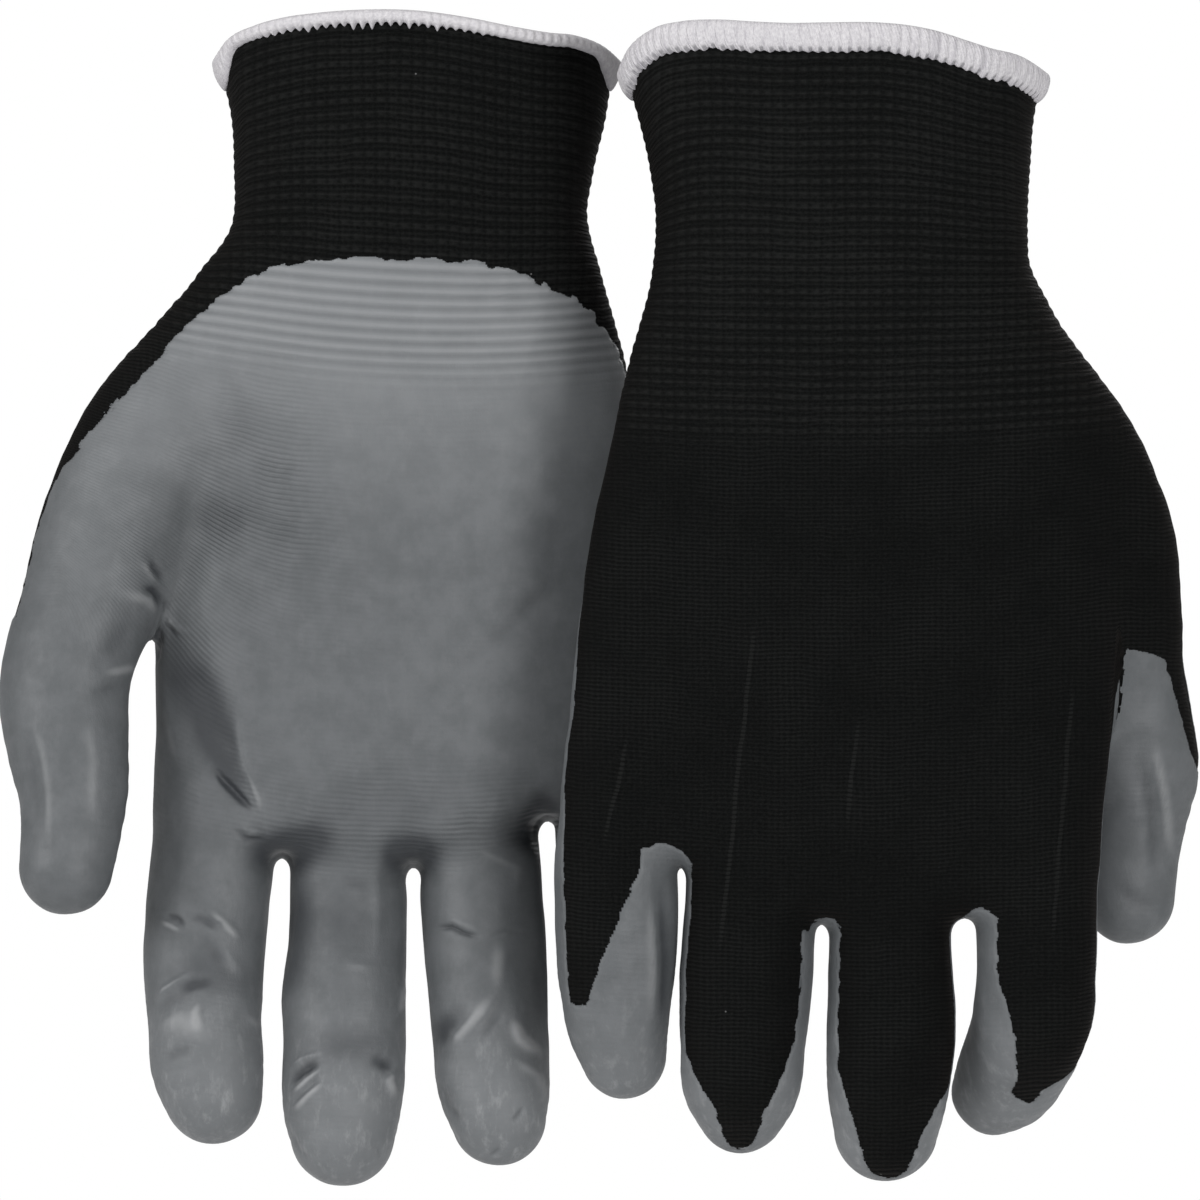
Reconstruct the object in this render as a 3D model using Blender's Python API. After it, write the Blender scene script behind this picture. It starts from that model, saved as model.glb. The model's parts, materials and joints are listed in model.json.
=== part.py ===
"""Pair of seamless-knit work gloves with a coated palm, cuffs up and fingers down, shaped as if worn.

Both gloves are right-hand ones. Glove 1 turns its palm to -Y. Glove 2 stands beside it, half in front
of its little finger, and turns its back to -Y. The origin is the middle of glove 1's cuff mouth.

Each glove is drawn in its own frame: thumb towards -x, palm towards -y, cuff towards +z. Its tables
give the outside of the finished glove in millimetres, and every layer is set in from that surface.
"""

import math

import bmesh
import bpy
from mathutils import Matrix, Vector

MM = 0.001

# Layers, as distances in from the outside of the glove.
GAP = 0.3
COAT_THICK = 0.6
KNIT_OUTSIDE = COAT_THICK + GAP
KNIT_THICK = 1.1
KNIT_INSIDE = KNIT_OUTSIDE + KNIT_THICK
ELASTIC_OUTSIDE = KNIT_INSIDE + GAP
ELASTIC_THICK = 0.6
HEM_WALL = 1.1
HEM_HEIGHT = 6.4

# Stretches of the sleeve, as heights.
CUFF_TOP = -1.4
CUFF_END = -46.0
ELASTIC_TOP = -10.0
ELASTIC_END = -42.0
RIM_FADE = 42.0

HAND_SIDES = 20
DIGIT_SIDES = 10
HAND_SQUARENESS = 2.4
DIGIT_FLATNESS = 0.92
TIP_RINGS = 3
RING_SPACE = 1.5
HEADING_STEP = 3.0
OVERRUN = 4.0
STUB_INSET = 3.0
HINGE_MARGIN = 0.5

# How far each hinge opens back and closes, in degrees.
FINGER_ROOT_BEND = 50.0
FINGER_MIDDLE_BEND = 65.0
THUMB_ROOT_BEND = 40.0
THUMB_MIDDLE_BEND = 50.0
PALMWARD = Vector((0.0, -1.0, 0.0))
ACROSS_PALM = Vector((0.6, -0.8, 0.0))

# Bare back of the coated pieces.
BARE_BACK_FROM = 3.4
TONGUE_BACK_FROM = 2.5
TONGUE_WIDTH = 0.97
THUMB_TONGUE_WIDTH = 0.5
TONGUE_POINTS = 9
TONGUE_POWER = 2.2
TONGUE_ROUNDING = 0.6
TONGUE_NARROWEST = 0.08

# Arched upper edge of the palm coating, and how far its cutters run past the glove.
EDGE_POINTS = 7
EDGE_POWER = 2.2
EDGE_REACH = 90.0
CUTTER_REACH = 60.0

COLOURS = {
    "hem": ((0.76, 0.74, 0.79), 0.9),
    "knit": ((0.008, 0.008, 0.009), 0.85),
    "elastic": ((0.02, 0.02, 0.022), 0.7),
    "coating": ((0.16, 0.168, 0.178), 0.5),
}

# hand: (height, thumb side, little side, palm side, back) for each section, cuff rim first.
# digits: centre line points (x, y, z, radius), the last one the middle of the round tip.
GLOVES = {
    "glove_1": {
        "place": Vector((0.0, 22.0, 0.0)),
        "turn": 0.0,
        "rim": {"arch": 12.5, "tilt": -4.3},
        "hand": [
            (0.0, -42.9, 42.9, -27.0, 27.0),
            (-10.0, -41.5, 41.5, -26.0, 26.0),
            (-25.0, -39.7, 38.5, -24.5, 24.5),
            (-40.0, -40.5, 37.0, -23.5, 23.5),
            (-55.0, -48.0, 38.5, -22.0, 22.0),
            (-70.0, -58.5, 43.0, -20.0, 20.0),
            (-84.0, -62.0, 46.5, -18.5, 18.5),
            (-112.0, -58.0, 49.8, -17.5, 16.5),
            (-145.0, -57.5, 50.8, -17.5, 15.5),
            (-166.0, -57.5, 51.0, -16.5, 14.5),
            (-178.0, -55.5, 50.0, -14.5, 13.0),
        ],
        "web_top": -166.0,
        "end_slant": 5.0,
        "coating": {"top": -50.0, "drop": 29.0, "thumb_reach": 66.0, "little_reach": 52.0},
        "digits": {
            "thumb": {
                "line": [
                    (-47.0, -2.0, -80.0, 12.0),
                    (-57.5, -4.0, -96.6, 17.0),
                    (-65.0, -8.0, -112.7, 15.5),
                    (-70.4, -12.0, -126.6, 14.2),
                    (-75.0, -16.0, -141.6, 13.3),
                    (-74.5, -19.0, -156.7, 12.7),
                    (-74.0, -21.0, -167.4, 11.4),
                    (-74.7, -22.0, -179.7, 10.3),
                ],
                "hinges": (-147.0, -167.0),
                "tongue_end": -172.0,
            },
            "index": {
                "line": [
                    (-41.5, -1.0, -158.0, 11.5),
                    (-43.8, -2.0, -179.4, 13.3),
                    (-45.1, -3.0, -197.4, 12.9),
                    (-45.5, -6.0, -214.6, 12.3),
                    (-44.0, -9.0, -228.3, 10.5),
                ],
                "hinges": (-190.0, -213.0),
                "tongue_end": -232.0,
            },
            "middle": {
                "line": [
                    (-14.5, -1.0, -158.0, 11.5),
                    (-15.0, -1.0, -180.3, 13.0),
                    (-15.2, -2.0, -197.4, 12.2),
                    (-16.3, -6.0, -216.7, 12.2),
                    (-15.5, -10.0, -238.0, 10.3),
                ],
                "hinges": (-192.0, -218.0),
                "tongue_end": -242.0,
            },
            "ring": {
                "line": [
                    (13.0, -1.0, -158.0, 11.5),
                    (13.7, -1.0, -176.0, 12.7),
                    (14.6, -2.0, -197.4, 12.4),
                    (16.3, -6.0, -216.7, 11.6),
                    (17.0, -9.0, -233.3, 10.7),
                ],
                "hinges": (-191.0, -216.0),
                "tongue_end": -237.0,
            },
            "little": {
                "line": [
                    (38.0, 0.0, -156.0, 9.5),
                    (40.3, 0.5, -173.8, 10.3),
                    (41.2, 2.5, -191.0, 9.9),
                    (41.6, 6.0, -209.5, 9.4),
                ],
                "hinges": (-182.0, -201.0),
                "tongue_end": -213.0,
            },
        },
    },
    "glove_2": {
        "place": Vector((90.1, -22.0, 0.0)),
        "turn": math.pi,
        "rim": {"arch": 10.3, "tilt": 0.0},
        "hand": [
            (0.0, -45.9, 48.9, -28.0, 28.0),
            (-10.0, -43.6, 46.2, -27.0, 27.0),
            (-25.0, -42.0, 42.5, -25.0, 25.0),
            (-40.0, -41.2, 40.0, -24.0, 24.0),
            (-55.0, -43.5, 39.5, -22.5, 22.5),
            (-70.0, -53.5, 43.0, -20.5, 20.0),
            (-84.0, -61.0, 48.0, -18.5, 18.5),
            (-112.0, -58.0, 54.0, -17.5, 16.5),
            (-145.0, -56.5, 57.0, -17.5, 15.5),
            (-168.0, -56.0, 59.0, -16.5, 14.5),
            (-186.0, -54.5, 58.0, -14.5, 13.0),
        ],
        "web_top": -168.0,
        "end_slant": 6.0,
        "coating": {"top": -50.0, "drop": 29.0, "thumb_reach": 66.0, "little_reach": 54.0},
        "digits": {
            "thumb": {
                "line": [
                    (-44.0, -3.0, -78.0, 12.0),
                    (-53.0, -6.0, -94.4, 17.0),
                    (-56.0, -10.0, -109.4, 16.5),
                    (-58.4, -15.0, -126.6, 15.0),
                    (-62.2, -19.0, -143.8, 12.7),
                    (-65.5, -22.0, -158.8, 12.0),
                    (-64.2, -24.0, -186.3, 10.1),
                ],
                "hinges": (-150.0, -172.0),
                "tongue_end": -178.0,
            },
            "index": {
                "line": [
                    (-40.5, 0.0, -160.0, 11.5),
                    (-42.3, 0.0, -191.0, 12.9),
                    (-42.1, -2.0, -203.9, 12.9),
                    (-41.2, -8.0, -216.7, 12.2),
                    (-35.8, -20.0, -226.3, 10.0),
                ],
                "hinges": (-198.0, -216.7),
                "tongue_end": -229.5,
            },
            "middle": {
                "line": [
                    (-11.8, 0.0, -160.0, 11.5),
                    (-11.8, 0.0, -191.0, 12.9),
                    (-11.8, -1.0, -208.2, 12.7),
                    (-12.2, -4.0, -221.0, 12.2),
                    (-10.7, -9.0, -236.5, 10.3),
                ],
                "hinges": (-200.0, -222.0),
                "tongue_end": -243.0,
            },
            "ring": {
                "line": [
                    (18.0, 0.0, -160.0, 11.5),
                    (18.5, 0.0, -186.7, 13.4),
                    (18.9, -1.0, -199.6, 13.2),
                    (18.9, -4.0, -216.7, 11.8),
                    (20.0, -8.0, -231.1, 9.9),
                ],
                "hinges": (-200.0, -221.0),
                "tongue_end": -238.0,
            },
            "little": {
                "line": [
                    (45.5, -0.5, -158.0, 10.5),
                    (47.6, -1.0, -179.4, 12.2),
                    (48.1, -2.0, -195.3, 12.2),
                    (47.6, -5.0, -210.3, 11.2),
                    (46.4, -8.0, -220.2, 9.0),
                ],
                "hinges": (-189.0, -208.5),
                "tongue_end": -209.0,
            },
        },
    },
}


def between(rows, height):
    """A row of a table that starts with its height, read at any height.

    Past an end the last stretch goes on.
    """
    lower = 1
    while lower < len(rows) - 1 and rows[lower][0] > height:
        lower += 1
    above, below = rows[lower - 1], rows[lower]
    share = (above[0] - height) / (above[0] - below[0])
    return [a + (b - a) * share for a, b in zip(above, below)]


def rim_rise(glove, height, across):
    """How much the arch of the cuff's rim lifts a point; across runs from -1 at the thumb side to 1."""
    fade = min(1.0, max(0.0, 1.0 + height / RIM_FADE))
    arch, tilt = glove["rim"]["arch"], glove["rim"]["tilt"]
    return fade * (arch * (0.5 - across**2) + tilt * across)


def hand_ring(glove, height, inset, slant=0.0):
    """One section of the cuff or hand: a squarish oval with a flat facet in the middle of the palm."""
    _, thumb_side, little_side, palm, back = between(glove["hand"], height)
    centre = Vector(((thumb_side + little_side) / 2, (palm + back) / 2, height))
    half_wide = (little_side - thumb_side) / 2 - inset
    half_deep = (back - palm) / 2 - inset
    ring = []
    for step in range(HAND_SIDES):
        angle = 2 * math.pi * (step + 0.5) / HAND_SIDES
        across = math.copysign(abs(math.cos(angle)) ** (2 / HAND_SQUARENESS), math.cos(angle))
        deep = math.copysign(abs(math.sin(angle)) ** (2 / HAND_SQUARENESS), math.sin(angle))
        lift = rim_rise(glove, height, across) + slant * across
        ring.append(centre + Vector((half_wide * across, half_deep * deep, lift)))
    return ring


def line_at(digit, height):
    """Centre and radius of a digit where its centre line passes a height."""
    rows = [(z, x, y, radius) for x, y, z, radius in digit["line"]]
    z, x, y, radius = between(rows, height)
    return Vector((x, y, z)), radius


def heading(digit, height):
    """Which way a digit points at a height."""
    ahead = line_at(digit, height - HEADING_STEP)[0]
    behind = line_at(digit, height + HEADING_STEP)[0]
    return (ahead - behind).normalized()


def digit_ring(digit, height, inset, shrink=1.0, push=0.0):
    """One section of a digit, square to its centre line and a little wider than deep."""
    centre, radius = line_at(digit, height)
    along = heading(digit, height)
    side = along.cross(PALMWARD).normalized()
    deep = along.cross(side)
    radius = (radius - inset) * shrink
    ring = []
    for step in range(DIGIT_SIDES):
        angle = 2 * math.pi * step / DIGIT_SIDES
        out = side * math.cos(angle) + deep * (math.sin(angle) * DIGIT_FLATNESS)
        ring.append(centre + along * push + out * radius)
    return ring


def tip_rings(digit, inset):
    """The rings and the last point of a round fingertip."""
    height = digit["line"][-1][2]
    centre, radius = line_at(digit, height)
    reach = radius - inset
    rings = []
    for step in range(TIP_RINGS):
        angle = math.pi / 2 * step / TIP_RINGS
        rings.append(digit_ring(digit, height, inset, math.cos(angle), reach * math.sin(angle)))
    return rings, centre + heading(digit, height) * reach


def heights(rows, top, end):
    """The two given heights and the table's own between them, kept apart from the ends."""
    inner = [z for z in rows if end + RING_SPACE < z < top - RING_SPACE]
    return [top] + inner + [end]


def hand_heights(glove, top, end):
    return heights([row[0] for row in glove["hand"]], top, end)


def digit_heights(digit, top, end):
    return heights([point[2] for point in digit["line"]], top, end)


def mesh_from_rings(name, rings, first=None, last=None, closed_profile=False):
    """A loft through rings of equal count.

    An end takes a point or a flat cap, or the profile closes on itself.

    Every four-sided patch is parted along the same diagonal, so that nested layers stay parallel.
    """
    form = bmesh.new()
    loops = [[form.verts.new(point * MM) for point in ring] for ring in rings]
    pairs = list(zip(loops, loops[1:]))
    if closed_profile:
        pairs.append((loops[-1], loops[0]))
    for upper, lower in pairs:
        for a, b, c, d in zip(upper, upper[1:] + upper[:1], lower[1:] + lower[:1], lower):
            form.faces.new((a, b, c))
            form.faces.new((a, c, d))
    if not closed_profile:
        for loop, point in ((loops[0], first), (loops[-1], last)):
            if point is None:
                form.faces.new(loop)
                continue
            pole = form.verts.new(point * MM)
            for a, b in zip(loop, loop[1:] + loop[:1]):
                form.faces.new((a, b, pole))
    bmesh.ops.recalc_face_normals(form, faces=form.faces)
    mesh = bpy.data.meshes.new(name)
    form.to_mesh(mesh)
    form.free()
    mesh.shade_smooth()
    mesh.set_sharp_from_angle(angle=math.radians(40))
    return mesh


def hand_solid(glove, top, end, inset, slant=0.0):
    """The hand between two heights as one solid; only its lowest section takes the slant."""
    levels = hand_heights(glove, top, end)
    rings = [hand_ring(glove, z, inset, slant if z == end else 0.0) for z in levels]
    return mesh_from_rings("hand", rings)


def digit_solid(digit, top, end, inset):
    return mesh_from_rings("digit", [digit_ring(digit, z, inset) for z in digit_heights(digit, top, end)])


def hand_sleeve(glove, top, end, outside, inside):
    """An open tube of the hand's own section."""
    levels = hand_heights(glove, top, end)
    rings = [hand_ring(glove, z, outside) for z in levels]
    rings += [hand_ring(glove, z, inside) for z in reversed(levels)]
    return mesh_from_rings("sleeve", rings, closed_profile=True)


def digit_sleeve(digit, top, end, outside, inside):
    levels = digit_heights(digit, top, end)
    rings = [digit_ring(digit, z, outside) for z in levels]
    rings += [digit_ring(digit, z, inside) for z in reversed(levels)]
    return mesh_from_rings("sleeve", rings, closed_profile=True)


def digit_thimble(digit, top, outside, inside):
    """A fingertip: a tube closed by a round end, as one surface from the outer tip to the inner one."""
    levels = digit_heights(digit, top, digit["line"][-1][2])
    outer, outer_tip = tip_rings(digit, outside)
    inner, inner_tip = tip_rings(digit, inside)
    outer = [digit_ring(digit, z, outside) for z in levels[:-1]] + outer
    inner = [digit_ring(digit, z, inside) for z in levels[:-1]] + inner
    return mesh_from_rings("thimble", outer[::-1] + inner, first=outer_tip, last=inner_tip)


def hem_mesh(glove):
    """The overlocked hem: a channel of thread that folds over the cuff's edge, outside and inside."""
    knit_out, knit_in = KNIT_OUTSIDE - GAP, KNIT_INSIDE + GAP
    bottom = CUFF_TOP - HEM_HEIGHT
    profile = [
        (knit_out - HEM_WALL, bottom),
        (knit_out - HEM_WALL, CUFF_TOP + GAP),
        (knit_out - HEM_WALL / 2, 0.0),
        (knit_in + HEM_WALL / 2, 0.0),
        (knit_in + HEM_WALL, CUFF_TOP + GAP),
        (knit_in + HEM_WALL, bottom),
        (knit_in, bottom),
        (knit_in, CUFF_TOP + GAP),
        (knit_out, CUFF_TOP + GAP),
        (knit_out, bottom),
    ]
    rings = [hand_ring(glove, z, inset) for inset, z in profile]
    return mesh_from_rings("hem", rings, closed_profile=True)


def bends(name):
    """The most that a digit's root and middle hinges close, in degrees."""
    if name == "thumb":
        return THUMB_ROOT_BEND, THUMB_MIDDLE_BEND
    return FINGER_ROOT_BEND, FINGER_MIDDLE_BEND


def hinge_room(digit, height, bend):
    """How far from a hinge the rigid pieces stay, so that their edges don't meet when it is closed."""
    radius = line_at(digit, height)[1]
    return radius * math.tan(math.radians(bend) / 2) + HINGE_MARGIN


def cuts(name, digit):
    """Heights where a digit is parted: root above, root below, middle above, middle below."""
    (root, middle), (root_bend, middle_bend) = digit["hinges"], bends(name)
    root_room = hinge_room(digit, root, root_bend)
    middle_room = hinge_room(digit, middle, middle_bend)
    return root + root_room, root - root_room, middle + middle_room, middle - middle_room


def hinge_axis(name, digit, height):
    """The axis about which a positive turn bends the digit over the palm."""
    towards = ACROSS_PALM if name == "thumb" else PALMWARD
    return heading(digit, height).cross(towards).normalized()


def prism(corners, direction):
    """A flat outline pushed straight along a direction."""
    form = bmesh.new()
    face = form.faces.new([form.verts.new(corner * MM) for corner in corners])
    pushed = bmesh.ops.extrude_face_region(form, geom=[face])
    moved = [item for item in pushed["geom"] if isinstance(item, bmesh.types.BMVert)]
    bmesh.ops.translate(form, verts=moved, vec=direction * MM)
    bmesh.ops.recalc_face_normals(form, faces=form.faces)
    mesh = bpy.data.meshes.new("prism")
    form.to_mesh(mesh)
    form.free()
    return mesh


def tongue_cutter(name, digit):
    """Clears the coating from a digit's back, down to the rounded end of the bare tongue."""
    width = THUMB_TONGUE_WIDTH if name == "thumb" else TONGUE_WIDTH
    top = digit["line"][1][2] + OVERRUN
    end = digit["tongue_end"]
    left, right = [], []
    for step in range(TONGUE_POINTS):
        share = step / (TONGUE_POINTS - 1)
        centre, radius = line_at(digit, top + (end - top) * share)
        half = radius * width * max(TONGUE_NARROWEST, 1 - share**TONGUE_POWER) ** TONGUE_ROUNDING
        middle = Vector((centre.x, centre.y + TONGUE_BACK_FROM, centre.z))
        left.append(middle - Vector((half, 0, 0)))
        right.append(middle + Vector((half, 0, 0)))
    return prism(left + right[::-1], Vector((0.0, CUTTER_REACH, 0.0)))


def above_coating_cutter(glove):
    """Clears the palm coating above its arched upper edge.

    The edge falls away faster on the little finger's side.
    """
    edge = glove["coating"]
    corners = []
    for step in range(-EDGE_POINTS, EDGE_POINTS + 1):
        across = EDGE_REACH * step / EDGE_POINTS
        reach = edge["thumb_reach"] if across < 0 else edge["little_reach"]
        drop = edge["drop"] * abs(across / reach) ** EDGE_POWER
        corners.append(Vector((across, -CUTTER_REACH, edge["top"] - drop)))
    corners.append(Vector((EDGE_REACH, -CUTTER_REACH, CUTTER_REACH)))
    corners.append(Vector((-EDGE_REACH, -CUTTER_REACH, CUTTER_REACH)))
    return prism(corners, Vector((0.0, 2 * CUTTER_REACH, 0.0)))


def bare_back_cutter():
    """Clears the palm coating from the back of the hand."""
    sides, ends = (-EDGE_REACH, EDGE_REACH), (CUTTER_REACH, -4 * CUTTER_REACH)
    heights_round = (ends[0],) * 2 + (ends[1],) * 2
    corners = [Vector((x, BARE_BACK_FROM, z)) for x, z in zip(sides + sides[::-1], heights_round)]
    return prism(corners, Vector((0.0, CUTTER_REACH, 0.0)))


def material(name):
    """A Principled material in the colour of one kind of piece."""
    made = bpy.data.materials.new(name)
    made.use_nodes = True
    colour, roughness = COLOURS[name]
    shader = made.node_tree.nodes["Principled BSDF"]
    shader.inputs["Base Color"].default_value = (*colour, 1.0)
    shader.inputs["Roughness"].default_value = roughness
    return made


class Maker:
    """Places one glove's pieces in the world, under its empties."""

    def __init__(self, name, glove, parts, cutters, materials):
        self.name, self.glove = name, glove
        self.parts, self.cutters, self.materials = parts, cutters, materials
        self.placed = Matrix.Translation(glove["place"] * MM) @ Matrix.Rotation(glove["turn"], 4, "Z")

    def empty(self, name, point, axis, parent=None):
        """A hinge or holder: its x axis lies along the joint's axis."""
        made = bpy.data.objects.new(f"{self.name}_{name}", None)
        made.empty_display_size = 0.01
        self.parts.objects.link(made)
        turned = Vector((1, 0, 0)).rotation_difference(axis).to_matrix().to_4x4()
        world = self.placed @ Matrix.Translation(point * MM) @ turned
        if parent:
            made.parent = parent
            made.matrix_parent_inverse = parent.matrix_world.inverted()
        made.matrix_world = world
        bpy.context.view_layer.update()
        return made

    def piece(self, name, mesh, kind, holder, join=(), cut=()):
        """A named node that rides on an empty, with Booleans that join and then cut helper meshes."""
        made = bpy.data.objects.new(f"{self.name}_{name}", mesh)
        mesh.name = made.name
        mesh.materials.append(self.materials[kind])
        self.parts.objects.link(made)
        made.parent = holder
        made.matrix_parent_inverse = holder.matrix_world.inverted() @ self.placed
        steps = [("UNION", helper) for helper in join] + [("DIFFERENCE", helper) for helper in cut]
        for number, (operation, helper) in enumerate(steps):
            tool = bpy.data.objects.new(f"{made.name}_tool_{number}", helper)
            tool.matrix_world = self.placed
            tool.hide_render = True
            tool.display_type = "WIRE"
            self.cutters.objects.link(tool)
            change = made.modifiers.new(operation.lower(), "BOOLEAN")
            change.operation = operation
            change.solver = "EXACT"
            change.object = tool
        return made


def build_sleeve(maker, hand):
    """Hem, ribbed cuff and the elastic laid in behind it."""
    glove = maker.glove
    maker.piece("hem", hem_mesh(glove), "hem", hand)
    cuff = hand_sleeve(glove, CUFF_TOP, CUFF_END, KNIT_OUTSIDE, KNIT_INSIDE)
    maker.piece("cuff", cuff, "knit", hand)
    elastic_inside = ELASTIC_OUTSIDE + ELASTIC_THICK
    elastic = hand_sleeve(glove, ELASTIC_TOP, ELASTIC_END, ELASTIC_OUTSIDE, elastic_inside)
    maker.piece("cuff_elastic", elastic, "elastic", hand)


def build_hand(maker, hand):
    """Knit and coating of the hand down to the finger roots.

    Each has the stub that the thumb leaves from.
    """
    glove, thumb = maker.glove, maker.glove["digits"]["thumb"]
    stub_top = thumb["line"][0][2]
    stub_end = cuts("thumb", thumb)[0]
    top, end = CUFF_END - GAP, glove["web_top"] + GAP

    def hollow(inset):
        return (
            hand_solid(glove, top + OVERRUN, end - OVERRUN, inset),
            digit_solid(thumb, stub_top - inset, stub_end - OVERRUN, inset),
        )

    maker.piece(
        "hand_liner",
        hand_solid(glove, top, end, KNIT_OUTSIDE),
        "knit",
        hand,
        join=[digit_solid(thumb, stub_top - KNIT_OUTSIDE, stub_end, KNIT_OUTSIDE)],
        cut=hollow(KNIT_INSIDE),
    )
    maker.piece(
        "palm_coating",
        hand_solid(glove, top, end, 0.0),
        "coating",
        hand,
        join=[digit_solid(thumb, stub_top, stub_end, 0.0)],
        cut=[*hollow(COAT_THICK), bare_back_cutter(), above_coating_cutter(glove)],
    )


def build_webs(maker, hand):
    """The stretches that give when a digit bends at its root.

    They are the knuckle end of the hand, and the thumb's root.
    """
    glove, digits = maker.glove, maker.glove["digits"]
    top, end = glove["web_top"], glove["hand"][-1][0]
    stubs, bores = [], []
    for name, digit in digits.items():
        if name == "thumb":
            continue
        stub_end = cuts(name, digit)[1] + GAP
        start = top - STUB_INSET
        stubs.append(digit_solid(digit, start, stub_end, 0.0))
        bores.append(digit_solid(digit, start - OVERRUN / 2, stub_end - OVERRUN, KNIT_INSIDE))
    palm_hollow = hand_solid(glove, top + OVERRUN, end + KNIT_INSIDE, KNIT_INSIDE, glove["end_slant"])
    palm_end = hand_solid(glove, top, end, 0.0, glove["end_slant"])
    maker.piece("finger_root_web", palm_end, "knit", hand, join=stubs, cut=[palm_hollow, *bores])
    above, below = cuts("thumb", digits["thumb"])[:2]
    thumb_root = digit_sleeve(digits["thumb"], above - GAP, below + GAP, 0.0, KNIT_INSIDE)
    maker.piece("thumb_root_web", thumb_root, "knit", hand)


def build_digit(maker, hand, name, digit):
    """Two hinged lengths of a digit, each of knit with its coating."""
    _, root_below, middle_above, middle_below = cuts(name, digit)
    root, middle = digit["hinges"]
    points = [line_at(digit, height)[0] for height in (root, middle)]
    axes = [hinge_axis(name, digit, height) for height in (root, middle)]
    base = maker.empty(f"{name}_root_hinge", points[0], axes[0], hand)
    tip = maker.empty(f"{name}_middle_hinge", points[1], axes[1], base)
    base_knit = digit_sleeve(digit, root_below, middle_below + GAP, KNIT_OUTSIDE, KNIT_INSIDE)
    maker.piece(f"{name}_base_liner", base_knit, "knit", base)
    maker.piece(
        f"{name}_base_coating",
        digit_sleeve(digit, root_below, middle_above, 0.0, COAT_THICK),
        "coating",
        base,
        cut=[tongue_cutter(name, digit)],
    )
    tip_liner = digit_thimble(digit, middle_below, KNIT_OUTSIDE, KNIT_INSIDE)
    maker.piece(f"{name}_tip_liner", tip_liner, "knit", tip)
    maker.piece(
        f"{name}_tip_coating",
        digit_thimble(digit, middle_below, 0.0, COAT_THICK),
        "coating",
        tip,
        cut=[tongue_cutter(name, digit)],
    )


def main():
    for old in list(bpy.data.objects):
        bpy.data.objects.remove(old, do_unlink=True)
    parts = bpy.data.collections.new("work_gloves")
    cutters = bpy.data.collections.new("work_glove_cutters")
    for collection in (parts, cutters):
        bpy.context.scene.collection.children.link(collection)
    materials = {name: material(name) for name in COLOURS}
    for name, glove in GLOVES.items():
        maker = Maker(name, glove, parts, cutters, materials)
        hand = maker.empty("holder", Vector((0, 0, 0)), Vector((1, 0, 0)))
        build_sleeve(maker, hand)
        build_hand(maker, hand)
        build_webs(maker, hand)
        for digit_name, digit in glove["digits"].items():
            build_digit(maker, hand, digit_name, digit)


main()
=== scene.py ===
"""Looks of the pair of coated work gloves: knit, dipped coating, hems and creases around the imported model.

Each glove is shaped in its own frame, in millimetres: thumb towards -x, palm towards -y, cuff towards +z.
The hand and digits are distance fields that run into each other like cloth over a hand. One skin is drawn
over them, ribbed and creased, and then parted into knit and coating and at the hinges of the digits.
"""

import json
import math

import bpy
import numpy as np
from mathutils import Matrix, Vector

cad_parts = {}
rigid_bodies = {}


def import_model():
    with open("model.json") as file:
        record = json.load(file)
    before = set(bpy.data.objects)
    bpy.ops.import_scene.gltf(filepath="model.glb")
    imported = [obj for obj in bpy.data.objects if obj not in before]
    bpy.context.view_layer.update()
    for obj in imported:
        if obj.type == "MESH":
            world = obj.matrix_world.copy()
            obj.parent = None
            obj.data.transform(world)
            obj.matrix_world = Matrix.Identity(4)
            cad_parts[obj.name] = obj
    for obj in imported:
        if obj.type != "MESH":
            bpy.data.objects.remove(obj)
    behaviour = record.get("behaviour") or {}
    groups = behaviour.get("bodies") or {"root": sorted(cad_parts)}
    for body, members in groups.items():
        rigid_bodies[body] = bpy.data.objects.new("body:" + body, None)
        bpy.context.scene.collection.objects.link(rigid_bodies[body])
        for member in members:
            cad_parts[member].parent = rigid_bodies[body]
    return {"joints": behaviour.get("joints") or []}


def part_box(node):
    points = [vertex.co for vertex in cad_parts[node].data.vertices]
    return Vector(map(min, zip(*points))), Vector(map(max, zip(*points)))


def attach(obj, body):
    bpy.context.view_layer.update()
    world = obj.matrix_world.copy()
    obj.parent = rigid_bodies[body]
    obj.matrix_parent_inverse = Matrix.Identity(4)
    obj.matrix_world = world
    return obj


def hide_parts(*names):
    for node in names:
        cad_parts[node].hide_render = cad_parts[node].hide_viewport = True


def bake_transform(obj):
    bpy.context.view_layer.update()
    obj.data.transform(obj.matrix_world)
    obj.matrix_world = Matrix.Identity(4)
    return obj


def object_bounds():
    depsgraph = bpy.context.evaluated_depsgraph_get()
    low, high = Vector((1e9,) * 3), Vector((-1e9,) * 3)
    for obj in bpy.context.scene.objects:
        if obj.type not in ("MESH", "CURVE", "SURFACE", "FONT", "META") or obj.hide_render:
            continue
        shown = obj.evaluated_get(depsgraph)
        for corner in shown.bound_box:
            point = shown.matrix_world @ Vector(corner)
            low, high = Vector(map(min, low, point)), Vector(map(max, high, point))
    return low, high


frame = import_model()
CAD_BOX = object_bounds()

MM = 0.001
FAR = 99.0
NOWHERE = 1e3
SAME_PLACE = 1e-4
DIGITS = ("thumb", "index", "middle", "ring", "little")

# Factors that scatter whole numbers, for noise that is the same on every run.
SCATTER, HEM_SCATTER, SEED_STEP = 43758.5453, 91.7, 4.7
LATTICE_MIX = np.array([12.99, 78.23, 37.72])

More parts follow.
